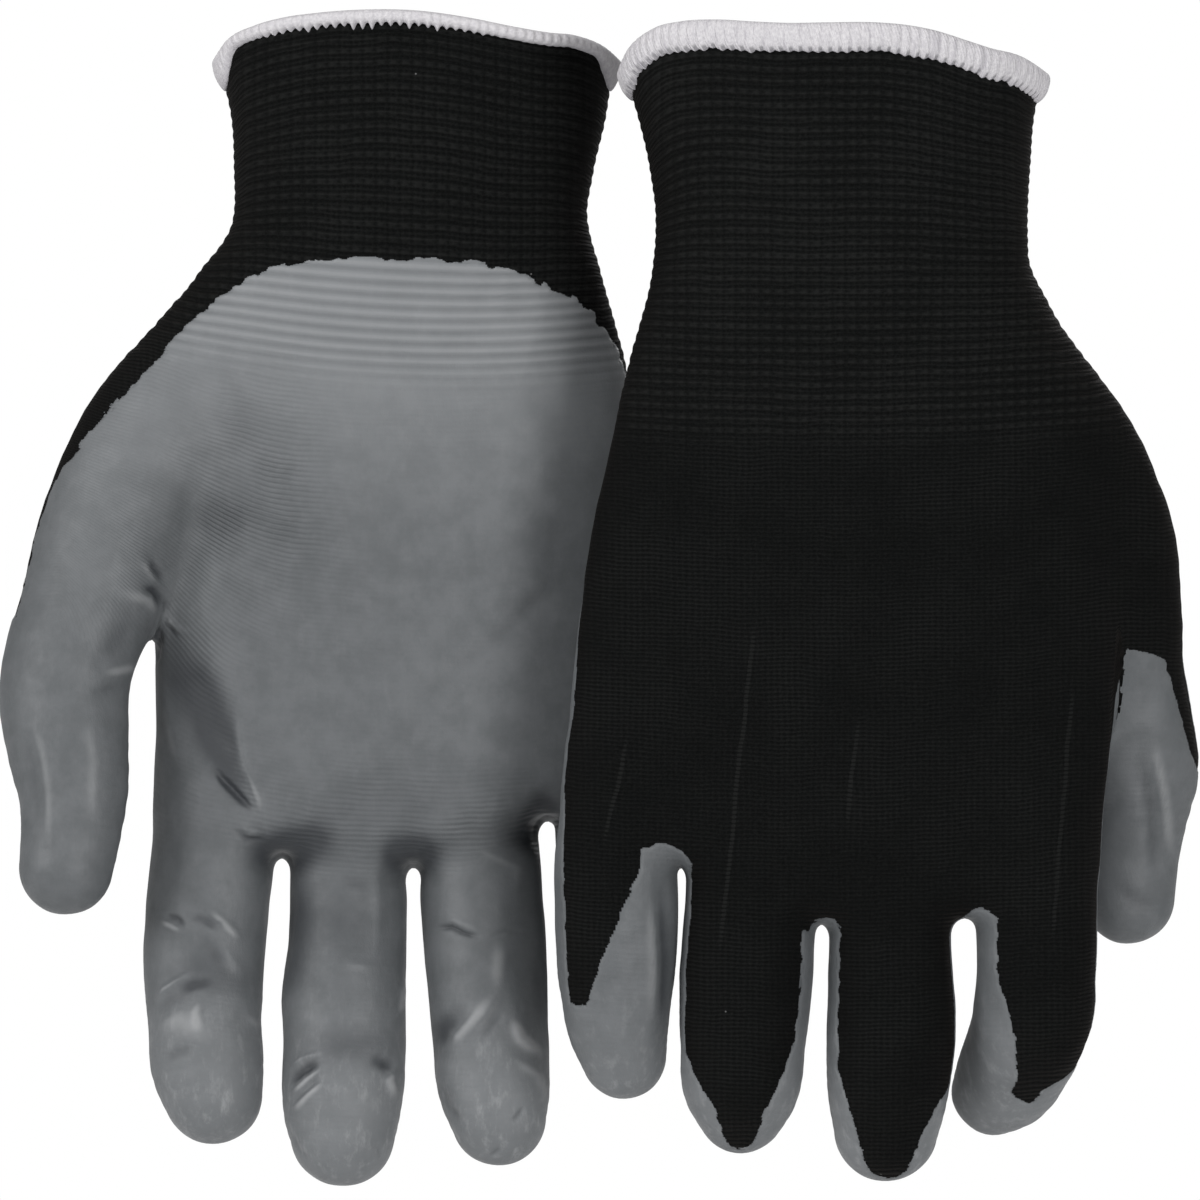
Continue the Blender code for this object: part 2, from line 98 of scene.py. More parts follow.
# Skin: grid steps of its mesh, and how softly the parts of the hand run together.
GRID_WIDE = 1.25
GRID_FINE = 0.42
GRID_COARSE = 0.85
FINE_ABOVE = -104.0
SKIN_BOX = (-96.0, -44.0), (66.0, 36.0)
SKIN_END, SKIN_TOP = -256.0, 14.0
SQUARENESS = 2.35
DIGIT_FLATNESS = 0.93
THUMB_BLEND = 10.0
FINGER_BLEND = 4.0
NEXT_FINGER_BLEND = 0.8
KNUCKLE_ROUND = 9.0
PART_BLEND = 2.5
SNUG = 0.35

# Knit and coating. The border of the coating follows single stitches, and is drawn on a finer mesh.
COAT_PROUD = 0.32
COAT_BORDER = 0.1
COAT_BEVEL = 0.6
COAT_OVERLAP = 0.8
TONGUE_ROUND = 3.0
EDGE_BAND = 2.2
EDGE_STITCH = (1.3, 1.3, 0.62)
EDGE_WANDER, EDGE_WANDER_FINGERS = 0.95, 0.42
EDGE_WANDER_CELL = 1.7
EDGE_ARCH = (-112.0, -78.0)
FINE_PARTS = 3
PALM_FACING = 0.3
PALM_SIDE = (2.0, -2.0)
SIDE_TO_SIDE = (-4.0, 4.0)
CREASE_SIDE = (2.0, -3.0)
CREASE_ENDS = (-0.06, 0.36)
FINE_PALM_BELOW = -74.0
RIB_PITCH = 2.46
RIB_HEIGHT = 0.19
RIBS_END_BACK = -96.0
RIBS_END_PALM = -78.0
RIBS_FADE = 14.0
RIB_SHARPNESS = 0.7
SAG_FROM, SAG_TO = -6.0, -55.0
RIM_FADES_AT = -70.0
COURSE_PITCH = 0.92
COAT_COURSE_PITCH = 1.12
WALE_PITCH = 1.3
WAFFLE_PITCH = 2.6
CLOTH_UNEVEN = 0.35
CLOTH_CELL = 16.0
CLOTH_EVENS = (-4.0, -60.0)
SKIN_BELOW_HEM = 1.6
KNIT_DEPTH = 1.8
LINING_INSET = 1.9
LINING_DEEPER = 4.0
LINING_DEEPENS = (-60.0, -110.0)
LINING_GRID = 2.2
LINING_BOX = (-70.0, -34.0), (66.0, 34.0)
LINING_END = -200.0

# Knitted rows of the palm, lifted towards the thumb: (height, lift) and where across the palm it starts.
THENAR_LIFT = [(-180, 0.0), (-150, 4.0), (-122, 10.0), (-104, 7.0), (-84, 3.0), (-56, 0.0)]
THENAR_FROM, THENAR_WIDE = -24.0, 26.0

# Patches of the coating: (share, across, height, half width, half height). Rows of knit show through at the
# thumb's root and over the fingers, and the gaps between them are painted darker, a painted shade. The
# outside of the thumb's root, the top of the palm and the fingertips are painted paler, a painted highlight.
ROWS_SHOWN = 0.04
ROW_PATCHES = [(1.0, -40.0, -103.0, 17.0, 22.0), (0.3, 0.0, -168.0, 42.0, 9.0)]
PAINTED_HIGHLIGHT_TOP, PAINTED_HIGHLIGHT_TIPS, TIPS_HIGHLIGHT_SHARE = (-115.0, -52.0), (-196.0, -230.0), 0.5
PAINTED_HIGHLIGHT_PATCHES = [(0.32, -66.0, -100.0, 14.0, 26.0)]

# A crease tapers towards its ends if it is this many times longer than it is wide.
CREASE_SLIM = 8.0

# Hem.
RIM_STEPS = 1441
HEM_UNEVEN = 0.08
HEM_STEPS = 8
HEM_SIDES = 28
HEM_OUT = 0.7
HEM_NIP = 0.3
HEM_SQUARE = 0.8
HEM_NARROWS = 0.45
HEM_DROOP_FROM = 0.9

# Parting at the hinges: half of a bend as a share of the way between two hinges, a margin for whole faces,
# and how far from a digit's own shape its faces may lie.
BEND_SHARE = 0.42
CUT_MARGIN = 1.4
DIGIT_NEAR = 3.0

# Colours.
KNIT_DARK = (0.0013, 0.0015, 0.0015, 1.0)
KNIT_LIT = (0.007, 0.0073, 0.0071, 1.0)
SHEEN_TINT = (1.0, 0.82, 0.74, 1.0)
COAT_DARK = (0.0555, 0.0597, 0.0629, 1.0)
COAT_LIGHT = (0.0712, 0.0754, 0.0795, 1.0)
# Painted highlight for the top of the palm, the fingertips and the outside of the thumb's root.
COAT_PAINTED_HIGHLIGHT = (0.166, 0.172, 0.179, 1.0)
# Painted shade for the coating's creases, rib grooves and gaps between rows; also the dark of the coating's
# border and of the hem's lace.
PAINTED_SHADE_AND_DARK_EDGES = (0.018, 0.02, 0.023, 1.0)
# Real scuffs near the fingertips, and painted highlight on crease ridges and rib crests.
COAT_WEAR_AND_HIGHLIGHT = (0.22, 0.224, 0.228, 1.0)
HEM_WHITE = (0.4, 0.39, 0.4, 1.0)
HEM_SHADE = (0.33, 0.32, 0.335, 1.0)
# Grey of the gaps between pulled-in stitches, and painted shade on the underside of the hem's roll.
HEM_GAP_AND_UNDERSIDE_SHADE = (0.22, 0.21, 0.23, 1.0)

# Slanting lines of opened stitches on the backs: both ends as (across, height).
LADDERS = [
    ((19.0, -126.0), (26.4, -198.0)),
    ((-49.0, -140.0), (-44.5, -196.0)),
    ((45.6, -150.0), (51.4, -176.0)),
    ((-3.4, -146.0), (-0.6, -172.0)),
]
LADDER_WIDE = 0.55
LADDER_FADE = 12
LADDER_BRIGHT = 2.6

# Camera, floor and lights, in metres and watts.
CAMERA_AWAY = 5.0
FRAME_WIDE = 0.2575
VIEW_MIDDLE = (0.03906, -0.12232)
FLOOR_RADIUS, FLOOR_SIDES = 1.3, 96
FLOOR_BELOW = 0.11
ROOM_LIGHT = 0.5
LIGHTS = {  # place, size and power
    "key": ((-1.6, -1.2, 0.3), 0.9, 29.5),
    "other_side": ((0.9, -1.7, -0.1), 0.7, 27.0),
    "top": ((-0.3, -0.9, 1.6), 0.8, 14.0),
    "behind": ((0.5, 1.8, 0.8), 1.2, 22.0),
}

# rim: (from thumb side -1 to little side 1, height). hand: (height, thumb side, little side, palm, back).
# sag: how far rows of knit sag over the palm, the middle and the half width of it, across.
# knuckles: (across, height) of the end of the hand. digits: (x, y, height, radius), tip centre last.
# crotches: (across, height) of the coating's top between two fingers, its half width and its rise.
# coat_top: (across, height) of the coating's arched edge. coat_wrap: (height, thumb side, little side), how
# far it goes round to the back. hand_bare_above: (across, height) of its edge on the back of the hand.
# tongues: the bare back of each digit, in the order of TONGUE. thumb_edge: (height, across in radii) of the
# thumb's, where it is not straight. hem: measures of the roll of thread. hem_prongs: (from thumb side -1 to
# little side 1, share of the full length). creases: (width, depth, points), (across, height) each.
TONGUE = ("end", "length", "taper", "blunt", "lean", "thumb", "little")
GLOVES = {
    "glove_1": {
        "rim": [
            (-1, -5.8), (-0.93, -1.9), (-0.8, 1), (-0.66, 2.6), (-0.5, 3.5), (-0.25, 4.2), (0, 4),
            (0.25, 2.6), (0.5, 0.5), (0.66, -0.6), (0.8, -1.2), (0.93, -3.4), (1, -5.8),
        ],
        "hand": [
            (12, -43, 42.6, -27, 27), (-8, -42.6, 42.2, -26.5, 26.5), (-18, -40.6, 40.9, -25.5, 25.5),
            (-30, -40, 38.2, -24.2, 24.2), (-41, -40.4, 37, -23.2, 23.2), (-51, -44.4, 39.7, -22, 22.2),
            (-62, -48.8, 43, -20.8, 21), (-73, -52.6, 45.6, -19.8, 19.8), (-86, -55.6, 47.8, -18.8, 18.6),
            (-112, -56, 50, -17.8, 16.8), (-145, -56.6, 50.8, -17.2, 15.2),
            (-168, -55.8, 50.6, -16.2, 14), (-186, -54.5, 49, -14.8, 12.6),
        ],
        "knuckles": [(-60, -174), (-29.6, -177.6), (-1.3, -179.8), (27.7, -169.6), (54, -162)],
        "digits": {
            "thumb": [
                (-38, -1, -62, 12), (-51, -3, -80, 16.2), (-61.3, -5.5, -95, 16),
                (-67.3, -8.5, -110, 15.4), (-71.8, -11.5, -125, 14.2), (-75.4, -14.5, -137, 13.9),
                (-75.9, -16.5, -146, 13.7), (-74.9, -18, -154.5, 13.1), (-73.8, -19.3, -163, 12.1),
                (-74.1, -20.5, -171, 11.1), (-75.3, -21.5, -179.8, 10.2),
            ],
            "index": [
                (-43, 0, -158, 12), (-44.4, -1, -180, 13.3), (-45.6, -2, -193, 13.3),
                (-46.1, -4, -204, 13), (-45.8, -6.5, -214, 12.3), (-45.1, -8, -223, 12.1),
                (-44, -9, -228.4, 10.8),
            ],
            "middle": [
                (-15, 0, -158, 11.8), (-15, -1, -184, 12.6), (-15.3, -2, -196, 12.9),
                (-16, -4, -207, 13.4), (-15.9, -6.5, -218, 13.2), (-16.2, -9, -229, 13),
                (-15.9, -10.5, -237, 11.4),
            ],
            "ring": [
                (13, 0, -158, 12), (13.3, -1, -180, 13), (14.3, -2, -196, 13.1), (15.2, -4.5, -208, 12.7),
                (15.8, -6.5, -219, 12.3), (16.6, -8.5, -229, 11.6), (17.4, -9.5, -233.8, 10.4),
            ],
            "little": [
                (38.5, 1, -152, 9.5), (40.3, 1.5, -174, 10.4), (41.2, 3, -191, 10),
                (41.6, 5.5, -201, 9.8), (41.6, 7, -208.5, 9.2),
            ],
        },
        "sag": (3.6, 8, 46),
        "coat_top": [
            (-86, -126), (-84.6, -120), (-82.4, -110), (-79.2, -100), (-73.4, -90), (-65.2, -80.3),
            (-56.4, -71.2), (-45.9, -60), (-36, -53.2), (-24, -49.8), (0, -49.4), (16, -50.6), (28, -55),
            (39, -62.2), (44.5, -72), (49, -86), (54, -104),
        ],
        "coat_wrap": [(-240, 4, 4), (-150, 4.5, 4), (-126, 4, 2), (-114, 1, -2), (-100, -3, -4)],
        "hand_bare_above": [(-60, -186), (60, -186)],
        "crotches": [(-29.6, -177.6, 4.2, 5), (-1.3, -179.8, 4.2, 5), (27.7, -168, 5, 6)],
        "tongues": {
            "thumb": (-170, 40, 0.8, 0.2, -0.2, 1.4, 0.7),
            "index": (-231, 26, 0.8, 0.3, 0, 1.2, 0.86),
            "middle": (-241, 26, 0.8, 0.3, 0, 0.9, 0.86),
            "ring": (-237, 26, 0.8, 0.3, 0, 0.86, 0.9),
            "little": (-212, 26, 0.8, 0.25, 0.1, 0.7, 1.2),
        },
        "hem": {
            "stitches": 116, "top": 0.1, "height": 2.8, "thick": 3.6, "prong": 0.55, "narrow": 2,
            "droop": 4.2, "grooved": 0.15, "seed": 1,
        },
        "hem_prongs": [(-1, 0), (-0.9, 0), (-0.72, 1), (0.3, 1), (0.48, 0.1), (1, 0)],
        "back_creases": [],
        "creases": [
            # Between the thumb and the palm.
            (1, 0.88, [(-57.5, -113.5), (-56.5, -115.5), (-54.4, -118.6)]),
            (1.1, -0.33, [(-59.5, -113.5), (-57.5, -116.5), (-55.5, -119.3)]),
            (1.1, 1.1, [(-59.5, -119.3), (-56.6, -120.4), (-54.9, -123.2), (-54.6, -125.5)]),
            (1.8, -0.33, [(-63, -121), (-58, -122.3), (-56.5, -125.5)]),
            (0.9, -0.45, [(-54.4, -125.6), (-52.6, -127.6), (-50.4, -129.2)]),
            (0.67, 0.48, [(-54, -127.6), (-52, -129.6)]),
            (1, 1.1, [(-55.3, -126.5), (-55.8, -130.5), (-56.6, -134.5), (-58.6, -138)]),
            (5.6, 1.25, [(-51.5, -132), (-46.6, -144), (-42.4, -153.3), (-40, -160)]),
            (2.6, 0.5, [(-47, -146), (-43, -153), (-39.8, -160.3), (-35.8, -166.8)]),
            (0.8, 1.3, [(-43.8, -158.2), (-42.1, -160.7), (-38.2, -164.8), (-34.8, -168.2)]),
            (1.1, -0.55, [(-39, -144.5), (-38.4, -151), (-37.2, -158), (-34.2, -164.9), (-32.5, -171.4)]),
            (0.67, 0.48, [(-39.5, -171.4), (-36.6, -173.7), (-32.8, -174)]),
            (0.78, -0.26, [(-38.6, -169.8), (-36, -172.3), (-33.2, -172.6)]),
            (1.3, -0.3, [(-57, -137), (-55, -143), (-53, -151), (-50.5, -161)]),
            (2, 0.33, [(1.5, -141.6), (10, -136), (20, -128), (30.5, -118)]),
            # Pockets between the fingers, and broad shallow dips down the fingers' sides, over the middle
            # finger and across the bottom of the palm; the coating paints their depth as shade.
            (4.6, 1.4, [(-32, -176.5), (-27, -176), (-23, -174.6)]),
            (4.2, 1.45, [(-3.4, -177.4), (0.8, -177)]),
            (3.8, 1.4, [(24.6, -172.5), (27.5, -167.5)]),
            (4, 0.62, [(-25.5, -178), (-27, -192), (-27.5, -212)]),
            (3.4, 0.3, [(3, -182), (4, -198)]),
            (9, 0.28, [(-15.5, -176), (-15.5, -214)]),
            (10, 0.34, [(-26, -168), (20, -163)]),
            # Thumb.
            (1.3, -0.24, [(-83.5, -146), (-80.6, -153), (-79, -162), (-78.4, -178)]),
            (1.8, 0.4, [(-85.5, -150), (-82.4, -158), (-81.4, -172)]),
            (1.6, -0.22, [(-71, -146), (-69.4, -157), (-69.8, -172)]),
            (2.5, 0.48, [(-67.5, -134.5), (-64.4, -131), (-62, -126)]),
            (1.3, -0.33, [(-68, -138.2), (-64, -137.4), (-59.8, -136.2)]),
            (1.3, 0.4, [(-68, -141.8), (-64, -140.6)]),
            # Index finger.
            (0.78, 0.73, [(-54.6, -190), (-52, -190.7), (-49.8, -192.5)]),
            (0.78, -0.36, [(-55.2, -191.2), (-53, -192.4), (-50.6, -193.6)]),
            (0.9, 0.65, [(-49.6, -190.1), (-46, -191), (-43.4, -192.3), (-41.6, -191.8)]),
            (1.1, -0.36, [(-45.4, -188.6), (-41.4, -192.2), (-37.4, -196.4)]),
            (1.6, 0.36, [(-48, -193.6), (-44.2, -196.4), (-41.2, -201.4)]),
            (1.2, -0.22, [(-42.4, -195.6), (-39.6, -200), (-36.8, -204)]),
            (0.78, -0.59, [(-56.4, -209), (-54.4, -206), (-51.6, -204), (-47.6, -202)]),
            (1.1, 0.65, [(-51.4, -206.2), (-48, -205), (-43.4, -204.4)]),
            (1.8, 0.48, [(-55.6, -211.8), (-53, -208.2), (-49, -207.6)]),
            (3, -0.32, [(-56, -213), (-50.6, -212.6), (-46, -215.6)]),
            (1, -0.33, [(-46.6, -207.4), (-47.6, -211), (-47, -215.6)]),
            (1.2, 0.48, [(-55.4, -221.6), (-51.4, -219.4), (-46.4, -218.4)]),
            (0.9, -0.26, [(-36.6, -211.6), (-34.6, -214.4)]),
            (5, 0.56, [(-56, -205), (-46, -201), (-34, -206)]),
            # Middle finger.
            (1, 0.25, [(-17, -182.4), (-13, -183.2), (-9.6, -184.4)]),
            (6.5, 0.3, [(-22, -191), (-9, -191.5)]),
            (1, -0.36, [(-22, -200.8), (-15, -200.6), (-8.6, -201.2)]),
            (1.5, -0.3, [(-9, -173.4), (-8.6, -184), (-8.2, -197.6)]),
            (0.67, -0.45, [(-27.6, -223), (-24.6, -220.8), (-19.6, -219.4)]),
            (1.2, 0.96, [(-28, -226.6), (-25, -223.8), (-20.8, -221.4)]),
            (0.9, -0.59, [(-27, -229), (-23, -225), (-19.2, -221.8)]),
            (0.9, 0.56, [(-27, -230.6), (-23, -226.8), (-19.8, -223.6)]),
            (0.9, -0.52, [(-26.6, -232.6), (-23.6, -228.8), (-19.4, -225.2)]),
            (1.5, 0.73, [(-8.2, -221.6), (-5, -223.4)]),
            (1, -0.52, [(-3.6, -220.4), (-6.4, -225.6), (-5.2, -230.4)]),
            (0.78, -0.39, [(-3, -204), (-4.4, -212.6)]),
            (4.5, 0.48, [(-27, -219), (-15, -218), (-4, -218.5)]),
            (0.67, 0.33, [(-26.8, -236.4), (-25, -240.4), (-22.4, -243.4)]),
            (0.67, 0.33, [(-9, -238.6), (-7.6, -242.6)]),
            # Ring finger.
            (0.56, 0.81, [(4, -192.9), (7.5, -192.7), (10, -193.9), (14.2, -195.1)]),
            (0.9, -0.2, [(4.6, -191.5), (8, -191.2), (14, -193.6)]),
            (0.78, 0.25, [(14.4, -195.2), (19, -193.6), (25.4, -194.6)]),
            (1.8, -0.3, [(17.6, -195.6), (17, -206)]),
            (1.1, -0.2, [(9, -174), (21.4, -180), (21, -187.4)]),
            (2.5, 0.88, [(5, -219), (5.6, -214.4), (8.6, -211.6)]),
            (1.5, -0.45, [(4.4, -221), (8.4, -216.4), (13, -211.6), (17, -206.4)]),
            (1.7, 0.56, [(13.6, -216.6), (16.4, -212.6), (18.2, -209.4)]),
            (1.5, -0.59, [(20, -211.6), (22.2, -216.6), (27, -220.6)]),
            (1.7, 0.48, [(24.8, -197), (26.4, -207), (26, -216.6)]),
            (1.1, -0.33, [(20.4, -220.6), (25.6, -224.6), (27, -230)]),
            (1.1, 0.48, [(5.4, -225.4), (7, -231.4), (10.4, -235.4)]),
            (0.56, 0.4, [(20.4, -234.6), (23, -231.2)]),
            (0.56, 0.4, [(15.4, -242), (18.2, -239.8)]),
        ],
    },
    "glove_2": {
        "rim": [
            (-1, -8.6), (-0.85, -5), (-0.72, -3.6), (-0.6, -1.9), (-0.46, 0.1), (-0.33, 1.2), (-0.2, 1.7),
            (0.05, 1.7), (0.2, 1.6), (0.36, 1.9), (0.55, 2.4), (0.7, 2.1), (0.82, 0.8), (0.94, -3.4),
            (1, -7.6),
        ],
        "hand": [
            (12, -44.6, 48, -28, 28), (-8, -44.4, 47, -27.5, 27.5), (-18, -42, 43.8, -26, 26),
            (-30, -41, 41, -24.8, 24.8), (-43, -40.5, 39.7, -23.6, 23.6), (-54, -41, 41, -22.4, 22.4),
            (-65, -43.8, 43.9, -21, 21), (-76, -49.6, 46.6, -20, 19.8), (-88, -53.8, 48.9, -18.8, 18.6),
            (-109, -56.6, 53.5, -17.8, 17), (-127, -58.2, 55.8, -17.6, 16),
            (-145, -58.6, 57.4, -17.2, 15.2), (-170, -56, 59.3, -16.2, 14),
            (-190, -53.5, 59, -14.8, 12.6),
        ],
        "knuckles": [(-60, -184), (-29.4, -190), (3.4, -191.2), (34, -178.6), (60, -168)],
        "digits": {
            "thumb": [
                (-34.6, -4, -67, 11.4), (-45, -7, -82, 13.2), (-53.2, -10, -97, 14.6),
                (-57.4, -12.5, -111, 15.1), (-59.6, -15.5, -125, 14.1), (-61.2, -18, -138, 12.9),
                (-63.6, -20.5, -149, 12.8), (-64.7, -22.3, -158.5, 12.7), (-63.8, -24, -168, 11.3),
                (-62.7, -25, -177, 10.4), (-62.2, -25.5, -186.2, 10.2),
            ],
            "index": [
                (-41.5, 0, -160, 12), (-42, 0, -190, 13.1), (-42, -1.5, -203, 13),
                (-41.2, -5, -212.5, 13), (-38.6, -11, -219.5, 12), (-35.9, -16.5, -224.6, 11.2),
                (-33.3, -19, -227.6, 9.2),
            ],
            "middle": [
                (-11, 0, -160, 12), (-10.9, -0.5, -190, 13), (-10.9, -1.5, -203, 13.4),
                (-11.1, -3.5, -216, 13.8), (-10.4, -6.5, -227, 12.9), (-9.7, -9, -235.6, 11.2),
            ],
            "ring": [
                (19, 0, -160, 12), (19.2, 0, -188, 13.8), (19.9, -1.5, -203, 14.1),
                (20.7, -4, -216, 13.3), (21, -6.5, -227, 11.9), (21, -8, -231.4, 9.6),
            ],
            "little": [
                (46.5, 0, -156, 11), (48, -0.5, -178, 13), (48, -1.5, -191, 13.2),
                (47.9, -3.5, -204, 12.3), (47.4, -6, -214, 10.6), (46.2, -7.5, -220, 9),
            ],
        },
        "sag": (1.6, 4, 46),
        "coat_top": [
            (-80, -124), (-72, -100), (-62, -84), (-52, -70), (-42, -59), (-30, -52), (0, -49.4),
            (20, -51), (34, -57), (43, -68), (49, -86), (56, -112), (62, -134),
        ],
        "coat_wrap": [(-240, 0, 4.5), (-180, 0, 6), (-160, -1, 3.2), (-131, -2, 1.5), (-118, -4, -4)],
        "hand_bare_above": [(-60, -193), (17, -193), (24, -193), (36, -178), (62, -178)],
        "crotches": [(-29.8, -188.1, 4.4, 5), (3.1, -189.8, 3.9, 5), (37.8, -174.1, 7, 8)],
        "tongues": {
            "thumb": (-162, 1, 1, 0, -1.6, 1.6, 0),
            "index": (-230.4, 28, 0.55, 0.1, -0.92, 1.3, 0.66),
            "middle": (-245.8, 24, 0.8, 0.3, 0.05, 1.12, 0.82),
            "ring": (-239.9, 24, 0.8, 0.3, 0, 0.8, 0.94),
            "little": (-209.6, 31, 1, 0.06, 0.62, 0.42, 3),
        },
        "thumb_edge": [
            (-162, -1.1), (-157, -0.9), (-151, -0.82), (-144, -0.76), (-138, -0.7), (-134, -0.5),
            (-129, 1.6),
        ],
        "hem": {
            "stitches": 120, "top": -1.3, "height": 6.1, "thick": 3.2, "prong": 0.6, "narrow": 1,
            "droop": 0, "grooved": 1, "seed": 2,
        },
        "hem_prongs": [(-1, 0.6), (1, 0.6)],
        "back_creases": [
            (1.3, 0.8, [(38.6, -180), (37.4, -200), (38.4, -219)]),
            (1.4, -0.3, [(41, -182), (40.2, -202), (41.2, -216)]),
            (1.4, 0.6, [(-63.6, -152), (-66.6, -168), (-68.6, -186)]),
            (1.5, -0.3, [(-66.4, -148), (-69.6, -164), (-71.6, -182)]),
            (2, 0.5, [(-58, -182), (-63, -187), (-69, -188)]),
        ],
        "creases": [
            # Between the thumb and the palm.
            (1.2, 1.2, [(-52, -104), (-50, -112), (-47, -120)]),
            (5.5, 2, [(-49, -118), (-46, -134), (-40, -152), (-36, -166)]),
            (1, 1.3, [(-42, -158), (-38, -166), (-34, -172)]),
            (1.2, -0.8, [(-37, -150), (-34, -160), (-31, -171)]),
            (1.8, 0.4, [(0, -146), (14, -136), (32, -122)]),
            # Pockets between the fingers, whose depth the coating also paints as shade.
            (3, 2.8, [(-31.5, -186), (-27.5, -185)]),
            (2.6, 2.8, [(1.6, -188), (5.2, -188)]),
            (2.6, 2.8, [(33, -177), (36, -175)]),
            # Finger joints.
            (3.2, 0.6, [(-54, -203), (-42, -201), (-30, -203)]),
            (0.7, 0.8, [(-52, -200), (-46, -201.5), (-40, -200.5)]),
            (3.2, 0.6, [(-22, -205), (-10, -203), (1, -205)]),
            (0.7, 0.8, [(-18, -203), (-12, -204.5), (-5, -203)]),
            (3.2, 0.6, [(7, -205), (20, -203), (33, -205)]),
            (0.6, 0.8, [(10, -204), (17, -203), (24, -205)]),
            (3, 0.6, [(36, -196), (48, -194), (59, -196)]),
            (0.9, 0.7, [(-21, -224), (-15, -221), (-9, -222)]),
            (0.8, -0.7, [(-21, -226.6), (-15, -223.4), (-9, -224.2)]),
            (0.9, 0.7, [(31, -221), (25, -219), (18, -220)]),
            (0.8, -0.7, [(31, -223.4), (25, -221.2), (18, -222.2)]),
        ],
    },
}


def smooth_read(rows, at):
    """The other columns of a table, read along its first column on a smooth curve through its rows."""
    table = np.array(rows, float)
    table = table[np.argsort(table[:, 0])]
    knots, values = table[:, 0], table[:, 1:]
    slopes = np.gradient(values, knots, axis=0)
    at = np.clip(at, knots[0], knots[-1])
    index = np.clip(np.searchsorted(knots, at) - 1, 0, len(knots) - 2)
    step = (knots[index + 1] - knots[index])[:, None]
    t = (at - knots[index])[:, None] / step
    start = (1 + 2 * t) * (1 - t) ** 2 * values[index] + t * (1 - t) ** 2 * step * slopes[index]
    return start + t * t * (3 - 2 * t) * values[index + 1] + t * t * (t - 1) * step * slopes[index + 1]


def smooth_min(a, b, reach):
    """The lower of two fields, rounded where they come within reach of each other."""
    near = np.maximum(reach - np.abs(a - b), 0.0) / reach
    return np.minimum(a, b) - near * near * reach / 4


def fade(value, low, high):
    """0 below low, 1 above high, smooth between them. With high under low it falls instead."""
    t = np.clip((value - low) / (high - low), 0.0, 1.0)
    return t * t * (3 - 2 * t)


class Spine:
    """A digit's centre line as short straight pieces, each end with its radius."""

    PIECES = 30

    def __init__(self, line):
        line = np.array(line, float)
        steps = np.linalg.norm(np.diff(line[:, :3], axis=0), axis=1)
        reach = np.concatenate(([0.0], np.cumsum(steps)))
        marks = np.linspace(0.0, reach[-1], self.PIECES + 1)
        self.points = smooth_read(np.column_stack((reach, line)), marks)
        margin = self.points[:, 3].max() + FINGER_BLEND + THUMB_BLEND
        self.low = self.points[:, :3].min(0) - margin
        self.high = self.points[:, :3].max(0) + margin

    def distance(self, points):
        """Distance to the digit's skin. Points far from it get infinity."""
        distance = np.full(len(points), np.inf)
        close = np.flatnonzero(((points > self.low) & (points < self.high)).all(1))
        chosen, best = points[close], distance[close]
        for a, b in zip(self.points, self.points[1:]):
            step = b[:3] - a[:3]
            share = np.clip((chosen - a[:3]) @ step / (step @ step), 0.0, 1.0)
            away = chosen - a[:3] - share[:, None] * step
            away[:, 1] /= DIGIT_FLATNESS
            best = np.minimum(best, np.sqrt((away * away).sum(1)) - (a[3] + share * (b[3] - a[3])))
        distance[close] = best
        return distance

    def at_height(self, height):
        """Centre and radius where the line passes a height."""
        order = np.argsort(self.points[:, 2])
        ordered = self.points[order]
        return np.column_stack([np.interp(height, ordered[:, 2], ordered[:, c]) for c in (0, 1, 3)])


def unit(vector):
    return vector / np.linalg.norm(vector)


class Hinge:
    """One hinge of a digit: its point in the glove's frame and the two bodies that it joins."""

    def __init__(self, glove, name):
        joint = next(j for j in frame["joints"] if j["name"] == f"{glove.name}_{name}")
        self.point = np.array(glove.world.inverted() @ Vector(joint["pos_m"])) / MM
        self.parent, self.child = joint["parent"], joint["child"]


class Bends:
    """Where and which way a digit bends, at its root and at its middle."""

    def __init__(self, glove, digit):
        self.root, self.middle = Hinge(glove, f"{digit}_root"), Hinge(glove, f"{digit}_middle")
        span = self.middle.point - self.root.point
        self.span = np.linalg.norm(span)
        self.reach = BEND_SHARE * self.span
        self.way = unit(span)
        self.tip_way = unit(self.way + unit(glove.spines[digit].points[-1, :3] - self.middle.point))


